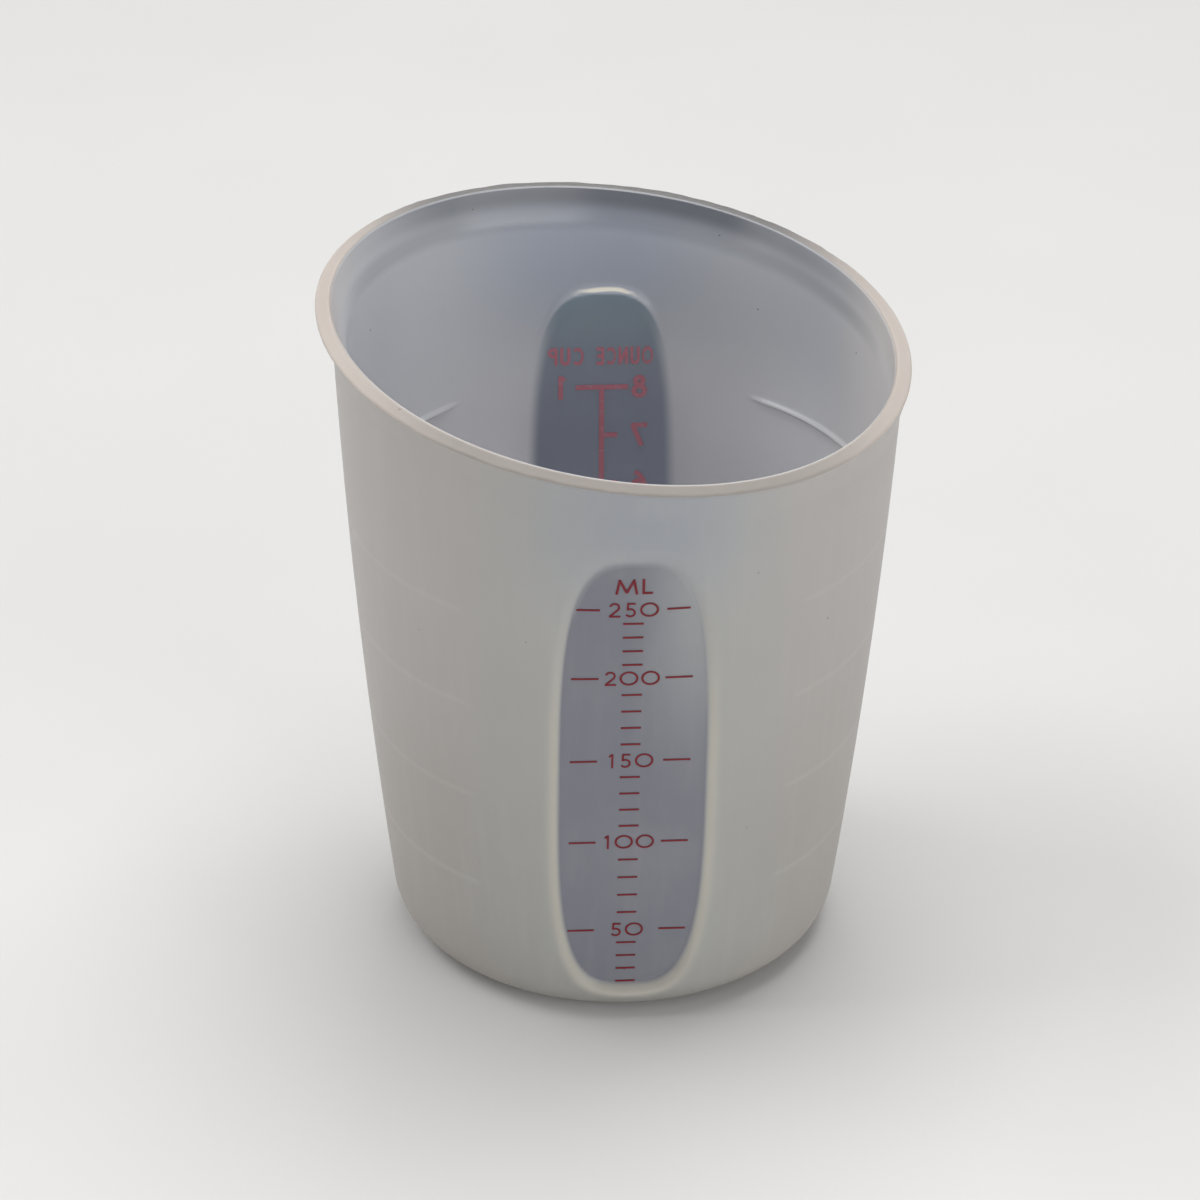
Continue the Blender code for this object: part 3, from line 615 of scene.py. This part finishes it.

# %% [markdown]
# ## Colours of the inside
#
# The inner wall's colour is lightest at the bottom, where little lamp light arrives, and
# cool and darker at the back. The light bottom and the light right side are painted light,
# for light that comes through the silicone. It is darkest where the far lip bends out: the
# far lip carries painted shade, as if a dark background showed through it, and more at the
# bend, against the light that the bend catches. The back pane is seen from within, with a
# painted highlight on the ledge over its top.

# %% Colours of the inside
cool_back = abs(across + 2.0 * MM).fade(4.0 * MM, 26.0 * MM) * upwards.smooth(68.0 * MM, 88.0 * MM)
# Painted light: the inner right wall is lightened, for light that comes through the silicone.
inner_right_light = across.smooth(0.0 * MM, 12.0 * MM) * across.fade(30.0 * MM, 36.0 * MM)
pane_halo = beyond.fade(0.0 * MM, 5.0 * MM) * upwards.fade(56.0 * MM, 76.0 * MM)
# Painted shade: the far lip is darkened, as if a dark background showed through its thin silicone.
far_lip_shade = outwards.smooth(2.0 * MM, 18.0 * MM) * abs(across - 1.0 * MM).fade(16.0 * MM, 46.0 * MM)
# Painted shade where the far lip bends out, which damps the light that the bend catches.
lip_bend_shade = under_rim.smooth(2.2 * MM, 3.8 * MM) * under_rim.fade(4.4 * MM, 6.2 * MM)
lip_bend_shade = lip_bend_shade * outwards.smooth(2.0 * MM, 18.0 * MM)
pane_within = start.tint(PANE_INSIDE_LOW, PANE_INSIDE_TOP, upwards.smooth(66.0 * MM, 82.0 * MM))
# Painted light: the inner wall is lightest low down, for light that comes through the silicone.
inner_colour = start.tint(INNER_LOW_LIGHT, INNER_HIGH, upwards.smooth(45.0 * MM, 92.0 * MM)).under(
    (INNER_COOL, cool_back * 0.8),
    (INNER_RIGHT_LIGHT, inner_right_light * upwards.fade(52.0 * MM, 80.0 * MM)),
    (PANE_INSIDE_LOW, pane_halo * 0.12),
    (INNER_EDGE, across.smooth(31.0 * MM, 38.0 * MM) * 0.6),
    (LIP_NEAR, under_rim.fade(0.5 * MM, 5.5 * MM) * (1.0 - far_side) * 0.8),
    (LIP_FAR_SHADE, under_rim.fade(1.0 * MM, 5.0 * MM) * far_lip_shade),
    (LIP_FAR_SHADE, lip_bend_shade * 0.35),
    (LINE_TINT, line_mask * 0.3),
    (pane_within, pane_inside * (1.0 - is_front * 0.5)),
    (LEDGE_HIGHLIGHT, ledge_light))
both_sides = start.tint(wall_colour, inner_colour, is_inside)
print("nodes with the inside:", len(silicone.node_tree.nodes))

# %% [markdown]
# ## The rim, small traces and the finish
#
# The rim's end face has its own greys and one thin bright line, and painted shade darkens
# its far side. Clouds, streaks and a few dark specks of dust lie over all. The frosted
# outside is rougher than the inside and the panes, the rim is roughest, and the frost also
# gives the outside its fine bump.

# %% The rim, small traces and the finish
# Painted shade: the rim's far side is darker, as if a dark background showed through the thin lip.
rim_colour = start.tint(RIM_TINT, RIM_FAR_SHADE, far_side)
rim_colour = start.tint(rim_colour, RIM_SIDE, abs(across).smooth(22.0 * MM, 41.0 * MM))
rim_line = wall_side.smooth(0.66, 0.74) * wall_side.fade(0.84, 0.92) * outwards.fade(-24.0 * MM, 4.0 * MM)
speck = start.noise(place, 1000.0, 0.0).smooth(0.90, 0.915)
colour = both_sides.under(
    (rim_colour, is_rim),
    (RIM_LINE, rim_line * 0.45),
    (CLOUD_TINT, cloud.smooth(0.35, 0.8) * 0.08),
    (STREAK, streaks.smooth(0.45, 0.75) * (0.10 - pane_outside * 0.06) * is_outside),
    (SPECK_TINT, speck * 0.6))

frosted = is_outside * (1.0 - pane_outside)
rough = 0.22 + frosted * 0.26 + is_rim * 0.45 + cloud * 0.06
bump = start.node("ShaderNodeBump", {}, {"Strength": 0.12, "Distance": 0.05 * MM, "Height": frost * frosted})
finish_material(start, {"Metallic": 0.0, "IOR": 1.41, "Subsurface Weight": 0.4,
                        "Subsurface Radius": (1.0, 0.95, 0.9), "Subsurface Scale": 2.5 * MM},
                {"Base Color": colour, "Roughness": rough, "Normal": bump})
cup.data.materials.append(silicone)
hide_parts("cup_body")
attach(cup, "root")
print("nodes in the silicone:", len(silicone.node_tree.nodes))

# %% [markdown]
# ## Crimson ink
#
# The scales are printed with one thin coat of crimson ink. A print like this is never
# quite even, so its colour and its gloss vary a little. The back scale also shows through
# the window from the inside of the cup, paler and cooler, because silicone lies over it.

# %% Crimson ink
INK, INK_WORN = linear(108, 4, 22), linear(130, 26, 42)
INK_BEHIND, INK_BEHIND_DIM = linear(190, 118, 130), linear(172, 124, 136)


def ink_material(name, strong, weak, roughness):
    material, first = new_material(name)
    spot = first.node("ShaderNodeTexCoord", output=3)
    worn = first.noise(spot, 900.0, 3.0).smooth(0.45, 0.75)
    finish_material(first, {"Metallic": 0.0, "IOR": 1.45},
                    {"Base Color": first.tint(strong, weak, worn * 0.5),
                     "Roughness": roughness + worn * 0.12})
    return material


ink = ink_material("printed_ink", INK, INK_WORN, 0.38)
ink_behind = ink_material("ink_behind_silicone", INK_BEHIND, INK_BEHIND_DIM, 0.22)
print("ink materials:", ink.name, ink_behind.name)

# %% [markdown]
# ## Drawing with a flat nib
#
# Each sign is a few strokes of even weight. A stroke starts as one edge, laid across its
# direction like the nib of a lettering pen. Extruding the edge draws a straight line, and
# spinning it about a centre draws an arc. Spin turns clockwise for a positive angle.
# Every sign is drawn flat and one unit tall, and each stroke lies a hair above the one
# before, so no two faces fill the same place.

# %% Drawing with a flat nib
LINE_STEP = 0.25
ARC_STEP = math.radians(12.0)
STROKE_LIFT = 0.002


def put_down_nib(sheet, spot, heading, weight, lift):
    """Add an edge across the heading, and select only that edge."""
    bpy.ops.mesh.select_all(action="DESELECT")
    drawing = bmesh.from_edit_mesh(sheet.data)
    side = Vector((-math.sin(heading), math.cos(heading), 0.0)) * weight / 2
    ends = [drawing.verts.new(Vector((*spot, lift)) + sign * side) for sign in (1, -1)]
    edge = drawing.edges.new(ends)
    for end in ends:
        end.select = True
    edge.select = True
    bmesh.update_edit_mesh(sheet.data)


def draw_line(sheet, weight, lift, begin, end):
    run = Vector(end) - Vector(begin)
    steps = max(1, round(run.length / LINE_STEP))
    put_down_nib(sheet, begin, math.atan2(run.y, run.x), weight, lift)
    for _ in range(steps):
        bpy.ops.mesh.extrude_region_move(TRANSFORM_OT_translate={"value": (*(run / steps), 0.0)})


def draw_arc(sheet, weight, lift, centre, size, begin, end):
    begin, end = math.radians(begin), math.radians(end)
    spot = (centre[0] + size * math.cos(begin), centre[1] + size * math.sin(begin))
    put_down_nib(sheet, spot, begin + math.pi / 2, weight, lift)
    bpy.ops.mesh.spin(steps=max(3, round(abs(end - begin) / ARC_STEP)), angle=begin - end,
                      center=(*centre, lift), axis=(0, 0, 1))


def draw_sign(name, strokes, weight, widen=1.0):
    """A flat sign, one unit tall, from a list of lines and arcs."""
    sheet = new_piece(name)
    bpy.ops.object.mode_set(mode="EDIT")
    for count, (kind, *stroke) in enumerate(strokes):
        draw = draw_line if kind == "line" else draw_arc
        draw(sheet, weight, count * STROKE_LIFT, *stroke)
    bpy.ops.mesh.select_all(action="SELECT")
    bpy.ops.mesh.remove_doubles(threshold=0.0001)
    bpy.ops.object.mode_set(mode="OBJECT")
    drawing = bmesh.new()
    drawing.from_mesh(sheet.data)
    bmesh.ops.reverse_faces(drawing, faces=[face for face in drawing.faces if face.normal.z < 0])
    bmesh.ops.scale(drawing, vec=(widen, 1.0, 1.0), verts=drawing.verts)
    drawing.to_mesh(sheet.data)
    drawing.free()
    return sheet


trial = draw_sign("trial", [("line", (0.0, 0.0), (1.0, 0.0)), ("arc", (0.0, 0.0), 1.0, 0.0, 90.0)], 0.1)
corners = numbers_of(trial.data, trial.data.vertices, "co", 3)
print("trial stroke:", len(trial.data.polygons), "faces")
print("from", corners.min(axis=0).round(3), "to", corners.max(axis=0).round(3))
bpy.data.objects.remove(trial, do_unlink=True)

# %% [markdown]
# ## The signs
#
# The print uses a plain geometric hand: round bowls, straight stems and very wide
# noughts. Each sign is listed by its strokes, with the weight of the pen known, so that
# strokes end flush with the sign's height.

# %% The signs
def sign_strokes(sign, weight):
    """Strokes of a sign of height 1, with its width and how much it is widened."""
    half = weight / 2
    top, low = 1.0 - half, half
    stem = ("line", (half, 0.0), (half, 1.0))
    signs = {
        "0": ([("arc", (0.5, 0.5), 0.5 - half, 0, 360)], 1.08, 1.08),
        "1": ([("line", (0.25 - half, 0.0), (0.25 - half, 1.0)),
               ("line", (0.25 - half, 0.965), (0.0, 0.80))], 0.25, 1.0),
        "2": ([("arc", (0.33, top - 0.25), 0.25, 165, -38), ("line", (0.527, 0.523), (0.05, low)),
               ("line", (0.02, low), (0.67, low))], 0.67, 1.0),
        "3": ([("arc", (0.32, top - 0.20), 0.20, 150, -90),
               ("arc", (0.32, low + 0.25), 0.25, 90, -155)], 0.62, 1.0),
        "4": ([("line", (0.50, 0.0), (0.50, 1.0)), ("line", (0.52, 0.97), (0.05, 0.25)),
               ("line", (0.0, 0.27), (0.70, 0.27))], 0.70, 1.0),
        "5": ([("arc", (0.33, low + 0.255), 0.255, 128, -150), ("line", (0.17, 0.50), (0.20, 1.0)),
               ("line", (0.17, top), (0.62, top))], 0.66, 1.0),
        "6": ([("arc", (0.33, 0.33), 0.33 - half, 0, 360),
               ("arc", (0.83, 0.30), 0.83 - half, 174, 118)], 0.66, 1.0),
        "7": ([("line", (0.0, top), (0.64, top)), ("line", (0.59, top), (0.22, 0.0))], 0.66, 1.0),
        "8": ([("arc", (0.33, 0.31), 0.31 - half, 0, 360),
               ("arc", (0.33, 0.75), 0.25 - half, 0, 360)], 0.66, 1.0),
        "/": ([("line", (0.0, -0.05), (0.42, 1.05))], 0.42, 1.0),
        "C": ([("arc", (0.5, 0.5), 0.5 - half, 48, 312)], 0.62, 0.72),
        "E": ([stem, ("line", (half, top), (0.5, top)),
               ("line", (half, 0.5), (0.46, 0.5)), ("line", (half, low), (0.5, low))], 0.5, 1.0),
        "L": ([stem, ("line", (half, low), (0.58, low))], 0.58, 1.0),
        "M": ([("line", (half, 0.0), (0.24, 0.98)), ("line", (0.22, 0.96), (0.625, 0.10)),
               ("line", (0.625, 0.10), (1.03, 0.96)), ("line", (1.01, 0.98), (1.25 - half, 0.0))], 1.25, 1.0),
        "N": ([stem, ("line", (half, 0.95), (0.62 - half, 0.05)),
               ("line", (0.62 - half, 0.0), (0.62 - half, 1.0))], 0.62, 1.0),
        "O": ([("arc", (0.5, 0.5), 0.5 - half, 0, 360)], 0.72, 0.72),
        "P": ([stem, ("arc", (0.28, 0.72), 0.28 - half, 90, -90),
               ("line", (half, top), (0.29, top)),
               ("line", (half, 0.44 + half), (0.29, 0.44 + half))], 0.56, 1.0),
        "U": ([("arc", (0.30, 0.30), 0.30 - half, 180, 360), ("line", (half, 0.29), (half, 1.0)),
               ("line", (0.60 - half, 0.29), (0.60 - half, 1.0))], 0.60, 1.0),
    }
    return signs[sign]


drawn = {}


def sign_sheet(sign, weight):
    """The sheet of a sign, drawn the first time that it is asked for, and its width."""
    key = (sign, round(weight, 4))
    if key not in drawn:
        strokes, width, widen = sign_strokes(sign, weight)
        sheet = draw_sign(f"sign_{len(drawn)}", strokes, weight, widen)
        drawn[key] = (sheet.data, width)
        bpy.data.objects.remove(sheet, do_unlink=True)
    return drawn[key]


print("faces of a nought:", len(sign_sheet("0", 0.14)[0].polygons))

# %% [markdown]
# ## Laying print on a window
#
# A printed film follows the panel under it. Each flat sheet is given in a reader's terms,
# across and up, and this formula lays it on the panel: going up follows the taper, and
# the lift is the height over the outer face. Solidify then gives the film its thickness.
# All signs of one kind become one piece.

# %% Laying print on a window
FRONT, BACK = 1.0, 0.0
FILM_THICKNESS, FILM_CLEARANCE = 0.05 * MM, 0.02 * MM


def lay_on_panel(flat, side, lift):
    """Points given across, up and above, laid on the front or the back panel."""
    across, up, above = flat[:, 0], flat[:, 1], flat[:, 2]
    out = panel_face(across, up, side) + above + lift
    turned = 1.0 if side == FRONT else -1.0
    return np.stack((turned * across, -turned * out, up), axis=1)


def flat_copy(sheet, size, left, middle):
    """A sheet's points at its real size, and its faces."""
    points = np.array([vertex.co for vertex in sheet.vertices]) * size
    points[:, 0] += left
    points[:, 1] += middle - size / 2
    return points, [tuple(face.vertices) for face in sheet.polygons]


def bar(length, weight, left, middle):
    """A straight printed line, divided along its length so that it can bend."""
    steps = max(1, round(length / (0.5 * MM)))
    points = [(left + length * step / steps, middle + sign * weight / 2, 0.0)
              for step in range(steps + 1) for sign in (-1, 1)]
    faces = [(2 * step, 2 * step + 2, 2 * step + 3, 2 * step + 1) for step in range(steps)]
    return np.array(points), faces


def printed_piece(name, marks, side, lift, material, nodes=()):
    """One film from many flat marks, laid on a panel and given its thickness."""
    points, faces, count = [], [], 0
    for mark_points, mark_faces in marks:
        points.append(mark_points)
        faces += [tuple(index + count for index in face) for face in mark_faces]
        count += len(mark_points)
    piece = new_piece(name, lay_on_panel(np.concatenate(points), side, lift), (), faces)
    film = piece.modifiers.new("film", "SOLIDIFY")
    film.thickness, film.offset = FILM_THICKNESS, 1.0
    bpy.ops.object.modifier_apply(modifier=film.name)
    piece.data.materials.append(material)
    if nodes:
        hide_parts(*nodes)
    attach(piece, "root")
    print(name, len(piece.data.polygons), "faces for", len(nodes), "solids")


def nodes_like(*words):
    """Names of the solids that start with the first word and hold the others."""
    return [name for name in sorted(frame["nodes"])
            if name.startswith(words[0]) and all(word in name for word in words[1:])]


print("numbered lines:", len(nodes_like("line_")), "ticks:", len(nodes_like("tick_")))

# %% [markdown]
# ## The millilitre scale
#
# The front window counts millilitres. Its numbered lines aren't evenly spaced, because
# the cup widens upwards, and four ticks divide each step. The numbers are centred on
# the scale, with the wide noughts spaced closely.

# %% The millilitre scale
PRINT_SHIFT, LINE_WEIGHT = -0.4 * MM, 0.3 * MM
TOP_LINE_HEIGHT, PRINT_ZERO = 71.4 * MM, 3.4 * MM
LINE_SHARES = {250: 1.0, 200: 0.829, 150: 0.6195, 100: 0.41, 50: 0.176}
LINE_INNER_END, LINE_LENGTH, TOP_LINE_LENGTH, TICK_LENGTH = 4.6 * MM, 3.8 * MM, 3.2 * MM, 2.8 * MM
DIGIT_HEIGHT, DIGIT_STROKE = 2.4 * MM, 0.28 * MM
SIDE_BEARINGS = {"0": (0.08, 0.08), "1": (0.21, 0.25), "2": (0.10, 0.11), "5": (0.12, 0.14)}
UNIT_HEIGHT, UNIT_STROKE, UNIT_ABOVE_TOP_LINE, UNIT_GAP = 2.5 * MM, 0.34 * MM, 3.9 * MM, 0.55 * MM


def line_height(amount):
    return PRINT_ZERO + LINE_SHARES.get(amount, 0.0) * (TOP_LINE_HEIGHT - PRINT_ZERO)


def number_marks(text, middle):
    """The digits of a number, centred on the scale."""
    weight, cursor, marks = DIGIT_STROKE / DIGIT_HEIGHT, 0.0, []
    for digit in text:
        sheet, width = sign_sheet(digit, weight)
        before, after = SIDE_BEARINGS[digit]
        marks.append((sheet, cursor + before))
        cursor += before + width + after
    return [flat_copy(sheet, DIGIT_HEIGHT, PRINT_SHIFT + (edge - cursor / 2) * DIGIT_HEIGHT, middle)
            for sheet, edge in marks]


lines, ticks, numbers = [], [], []
for amount in LINE_SHARES:
    length = TOP_LINE_LENGTH if amount == max(LINE_SHARES) else LINE_LENGTH
    for left in (-LINE_INNER_END - length, LINE_INNER_END):
        lines.append(bar(length, LINE_WEIGHT, PRINT_SHIFT + left, line_height(amount)))
    numbers += number_marks(str(amount), line_height(amount))
levels = [line_height(amount) for amount in (0, 50, 100, 150, 200, 250)]
for below, above in zip(levels, levels[1:]):
    for count in range(1, 5):
        level = below + (above - below) * count / 5
        ticks.append(bar(TICK_LENGTH, LINE_WEIGHT, PRINT_SHIFT - TICK_LENGTH / 2, level))
unit_weight = UNIT_STROKE / UNIT_HEIGHT
(wide, wide_width), (narrow, narrow_width) = sign_sheet("M", unit_weight), sign_sheet("L", unit_weight)
unit_left = PRINT_SHIFT - ((wide_width + narrow_width) * UNIT_HEIGHT + UNIT_GAP) / 2
unit_level = TOP_LINE_HEIGHT + UNIT_ABOVE_TOP_LINE
unit = [flat_copy(wide, UNIT_HEIGHT, unit_left, unit_level),
        flat_copy(narrow, UNIT_HEIGHT, unit_left + wide_width * UNIT_HEIGHT + UNIT_GAP, unit_level)]

FRONT_PRINT = (("millilitre_lines", lines, nodes_like("line_")),
               ("millilitre_ticks", ticks, nodes_like("tick_")),
               ("millilitre_numbers", numbers, nodes_like("number_", "_ml_")),
               ("millilitre_unit", unit, nodes_like("unit_")))
for name, marks, nodes in FRONT_PRINT:
    printed_piece(name, marks, FRONT, FILM_CLEARANCE, ink, nodes)

# %% [markdown]
# ## The ounce and cup scale
#
# The back window counts ounces on its left and parts of a cup on its right, on one stem.
# Only the top of it shows in the photograph, from the inside and so mirrored, and the
# rest goes on at the same pitch. Each kind of mark comes from a function of its stroke.

# %% The ounce and cup scale
TOP_OUNCE, TOP_OUNCE_HEIGHT, LOW_OUNCE_HEIGHT, OUNCES_PER_CUP = 8, 67.2 * MM, 13.0 * MM, 8
OUNCE_PITCH = (TOP_OUNCE_HEIGHT - LOW_OUNCE_HEIGHT) / (TOP_OUNCE - 1)
STEM_WEIGHT, CROSS_LENGTH, SIDE_TICK_LENGTH = 0.5 * MM, 7.8 * MM, 2.1 * MM
OUNCE_DIGIT_HEIGHT, OUNCE_DIGIT_STROKE = 3.7 * MM, 0.6 * MM
OUNCE_DIGIT_OFFSET, CUP_DIGIT_OFFSET = 5.6 * MM, 6.0 * MM
CUP_PARTS = (("3", "4"), ("2", "3"), ("1", "2"), ("1", "3"), ("1", "4"))
PART_DIGIT_HEIGHT, PART_STROKE, PART_DROP = 2.0 * MM, 0.3 * MM, 0.45 * MM
PART_CLEARANCE, PART_GAP, PART_SHIFT = 0.5 * MM, 0.12, 0.4
HEADING_HEIGHT, HEADING_STROKE, HEADING_LEVEL, HEADING_GAP = 2.8 * MM, 0.42 * MM, 72.2 * MM, 0.16
HEADINGS = (("OUNCE", -7.6 * MM, 8.4 * MM), ("CUP", 2.7 * MM, 5.3 * MM))
STEM_STEPS = 24


def ounce_height(ounces):
    return TOP_OUNCE_HEIGHT - OUNCE_PITCH * (TOP_OUNCE - ounces)


def word_marks(word, stroke, left, width):
    """A heading from its left end, squeezed or stretched to a given width."""
    sheets = [sign_sheet(letter, stroke / HEADING_HEIGHT) for letter in word]
    natural = sum(sheet_width for _, sheet_width in sheets) + HEADING_GAP * (len(word) - 1)
    marks, cursor = [], 0.0
    for sheet, sheet_width in sheets:
        points, faces = flat_copy(sheet, HEADING_HEIGHT, 0.0, HEADING_LEVEL)
        points[:, 0] = left + (points[:, 0] + cursor * HEADING_HEIGHT) * width / (natural * HEADING_HEIGHT)
        marks.append((points, faces))
        cursor += sheet_width + HEADING_GAP
    return marks


def stem_marks(weight):
    """The stem of the scale, the line across its top, and the ticks to both sides."""
    marks = [bar(CROSS_LENGTH, weight, -CROSS_LENGTH / 2, TOP_OUNCE_HEIGHT)]
    length, lowest = ounce_height(TOP_OUNCE) - ounce_height(1), ounce_height(1) - STEM_WEIGHT / 2
    levels = even(lowest, lowest + length, STEM_STEPS)
    marks.append((np.array([(sign * weight / 2, level, 0.0) for level in levels for sign in (-1, 1)]),
                  [(2 * step, 2 * step + 1, 2 * step + 3, 2 * step + 2) for step in range(STEM_STEPS)]))
    for ounces in range(1, TOP_OUNCE):
        marks.append(bar(SIDE_TICK_LENGTH, weight, -STEM_WEIGHT / 2 - SIDE_TICK_LENGTH, ounce_height(ounces)))
    for over, under in CUP_PARTS:
        level = ounce_height(OUNCES_PER_CUP * int(over) / int(under))
        marks.append(bar(SIDE_TICK_LENGTH, weight, STEM_WEIGHT / 2, level))
    return marks


def ounce_marks(stroke):
    """The ounce numbers 1 to 8, on the left of the stem."""
    marks = []
    for ounces in range(1, TOP_OUNCE + 1):
        sheet, width = sign_sheet(str(ounces), stroke / OUNCE_DIGIT_HEIGHT)
        left = -OUNCE_DIGIT_OFFSET - width * OUNCE_DIGIT_HEIGHT / 2
        marks.append(flat_copy(sheet, OUNCE_DIGIT_HEIGHT, left, ounce_height(ounces)))
    return marks


def cup_marks(stroke):
    """The number 1 of the cup column, level with 8 ounces."""
    sheet, width = sign_sheet("1", stroke / OUNCE_DIGIT_HEIGHT)
    left = CUP_DIGIT_OFFSET - width * OUNCE_DIGIT_HEIGHT / 2
    return [flat_copy(sheet, OUNCE_DIGIT_HEIGHT, left, ounce_height(OUNCES_PER_CUP))]


def part_marks(stroke):
    """The parts of a cup, such as 3/4, beside their ticks."""
    marks = []
    for over, under in CUP_PARTS:
        level = ounce_height(OUNCES_PER_CUP * int(over) / int(under))
        cursor = STEM_WEIGHT / 2 + SIDE_TICK_LENGTH + PART_CLEARANCE
        for sign, shift in ((over, PART_SHIFT), ("/", 0.0), (under, -PART_SHIFT)):
            sheet, width = sign_sheet(sign, stroke / PART_DIGIT_HEIGHT)
            marks.append(flat_copy(sheet, PART_DIGIT_HEIGHT, cursor, level + shift * PART_DROP))
            cursor += (width + PART_GAP) * PART_DIGIT_HEIGHT
    return marks


def heading_marks(stroke):
    """The words over the two columns."""
    return [mark for heading in HEADINGS for mark in word_marks(heading[0], stroke, *heading[1:])]


print("ounces stand", round(OUNCE_PITCH / MM, 2), "mm apart, from", round(ounce_height(1) / MM, 1), "mm up")

# %% [markdown]
# ## Printing the back scale, and its image inside
#
# The marks are laid twice: once as ink on the outside, and once as the paler image that
# shows through the silicone, just clear of the inner face. Looking down into the cup, the
# ink behind the panel is seen through a higher place on its inner face, so the image
# stands that much higher. Its strokes spread a little on the way through the silicone,
# the stem's most of all.

# %% Printing the back scale, and its image inside
SEEN_HIGHER, SEEN_BOLDER = 0.35 * MM, 1.5
BACK_PRINT = (("ounce_stem", stem_marks, STEM_WEIGHT, nodes_like("ounce_stem")),
              ("ounce_numbers", ounce_marks, OUNCE_DIGIT_STROKE, nodes_like("number_", "_ounce")),
              ("cup_number", cup_marks, OUNCE_DIGIT_STROKE, nodes_like("number_1_cup")),
              ("cup_parts", part_marks, PART_STROKE, ()),
              ("scale_headings", heading_marks, HEADING_STROKE, ()))
behind, raised_image = [], np.array((0.0, SEEN_HIGHER, 0.0))
for name, marks_of, weight, nodes in BACK_PRINT:
    printed_piece(name, marks_of(weight), BACK, FILM_CLEARANCE, ink, nodes)
    bolder = SEEN_BOLDER if name == "ounce_stem" else 1 + (SEEN_BOLDER - 1) / 3
    behind += [(points + raised_image, faces) for points, faces in marks_of(weight * bolder)]
inner_lift = -WINDOW_THICKNESS - FILM_CLEARANCE - FILM_THICKNESS
printed_piece("back_scale_through_silicone", behind, BACK, inner_lift, ink_behind)

# %% [markdown]
# ## Floor, lamps and surroundings
#
# The cup stands on a plain pale floor in a plain studio. A wide strip on the right lights
# the wall, and a weaker one fills from the left. A soft box high on the left and a
# stronger one overhead light the lip and the inside. Each lamp is given by its name, its
# turn and rise in degrees, its distance, width and height, and its power. The world adds
# an even light, so that colours render about as they are written.

# %% Floor, lamps and surroundings
FLOOR_SIZE = 12.0
FLOOR_COLOUR, FLOOR_GRAIN = linear(204, 203, 201), linear(210, 209, 207)
WORLD_COLOUR, WORLD_LIGHT = (0.96, 0.97, 1.0, 1.0), 0.33
LAMPS = (("right_strip", -50.0, 12.0, 1.0, 0.95, 0.42, 4.6),
         ("left_strip", -165.0, 12.0, 1.0, 0.80, 0.30, 2.1),
         ("left_box", 172.0, 52.0, 1.1, 0.60, 0.60, 4.6),
         ("overhead_box", 60.0, 74.0, 1.1, 0.80, 0.80, 10.0))
LIT_PLACE = Vector((0.0, 0.0, 80.0)) * MM

deselect_everything()
bpy.ops.mesh.primitive_plane_add(size=FLOOR_SIZE)
floor = bpy.context.object
floor.name = "floor"
floor_material, first = new_material("pale_floor")
grain = first.noise(first.node("ShaderNodeTexCoord", output=3), 14.0, 2.0)
finish_material(first, {"Roughness": 0.65}, {"Base Color": first.tint(FLOOR_COLOUR, FLOOR_GRAIN, grain)})
floor.data.materials.append(floor_material)

for name, turn, rise, distance, width, tall, power in LAMPS:
    deselect_everything()
    spot = turned_from_x(math.radians(turn), math.radians(rise), distance) + LIT_PLACE
    aim = (LIT_PLACE - spot).to_track_quat("-Z", "Y").to_euler()
    bpy.ops.object.light_add(type="AREA", location=spot, rotation=aim)
    lamp = bpy.context.object
    lamp.name, lamp.data.energy = name, power
    lamp.data.shape, lamp.data.size, lamp.data.size_y = "RECTANGLE", width, tall

world = bpy.data.worlds.new("studio")
world.use_nodes = True
backdrop = world.node_tree.nodes["Background"]
backdrop.inputs["Color"].default_value = WORLD_COLOUR
backdrop.inputs["Strength"].default_value = WORLD_LIGHT
bpy.context.scene.world = world
bpy.context.scene.view_settings.view_transform = "Standard"
print("lamps:", [lamp[0] for lamp in LAMPS], "world", WORLD_LIGHT)

# %% [markdown]
# ## At the end
#
# At the end, nothing is left selected.

# %% At the end
for item in bpy.data.objects:
    item.select_set(False)
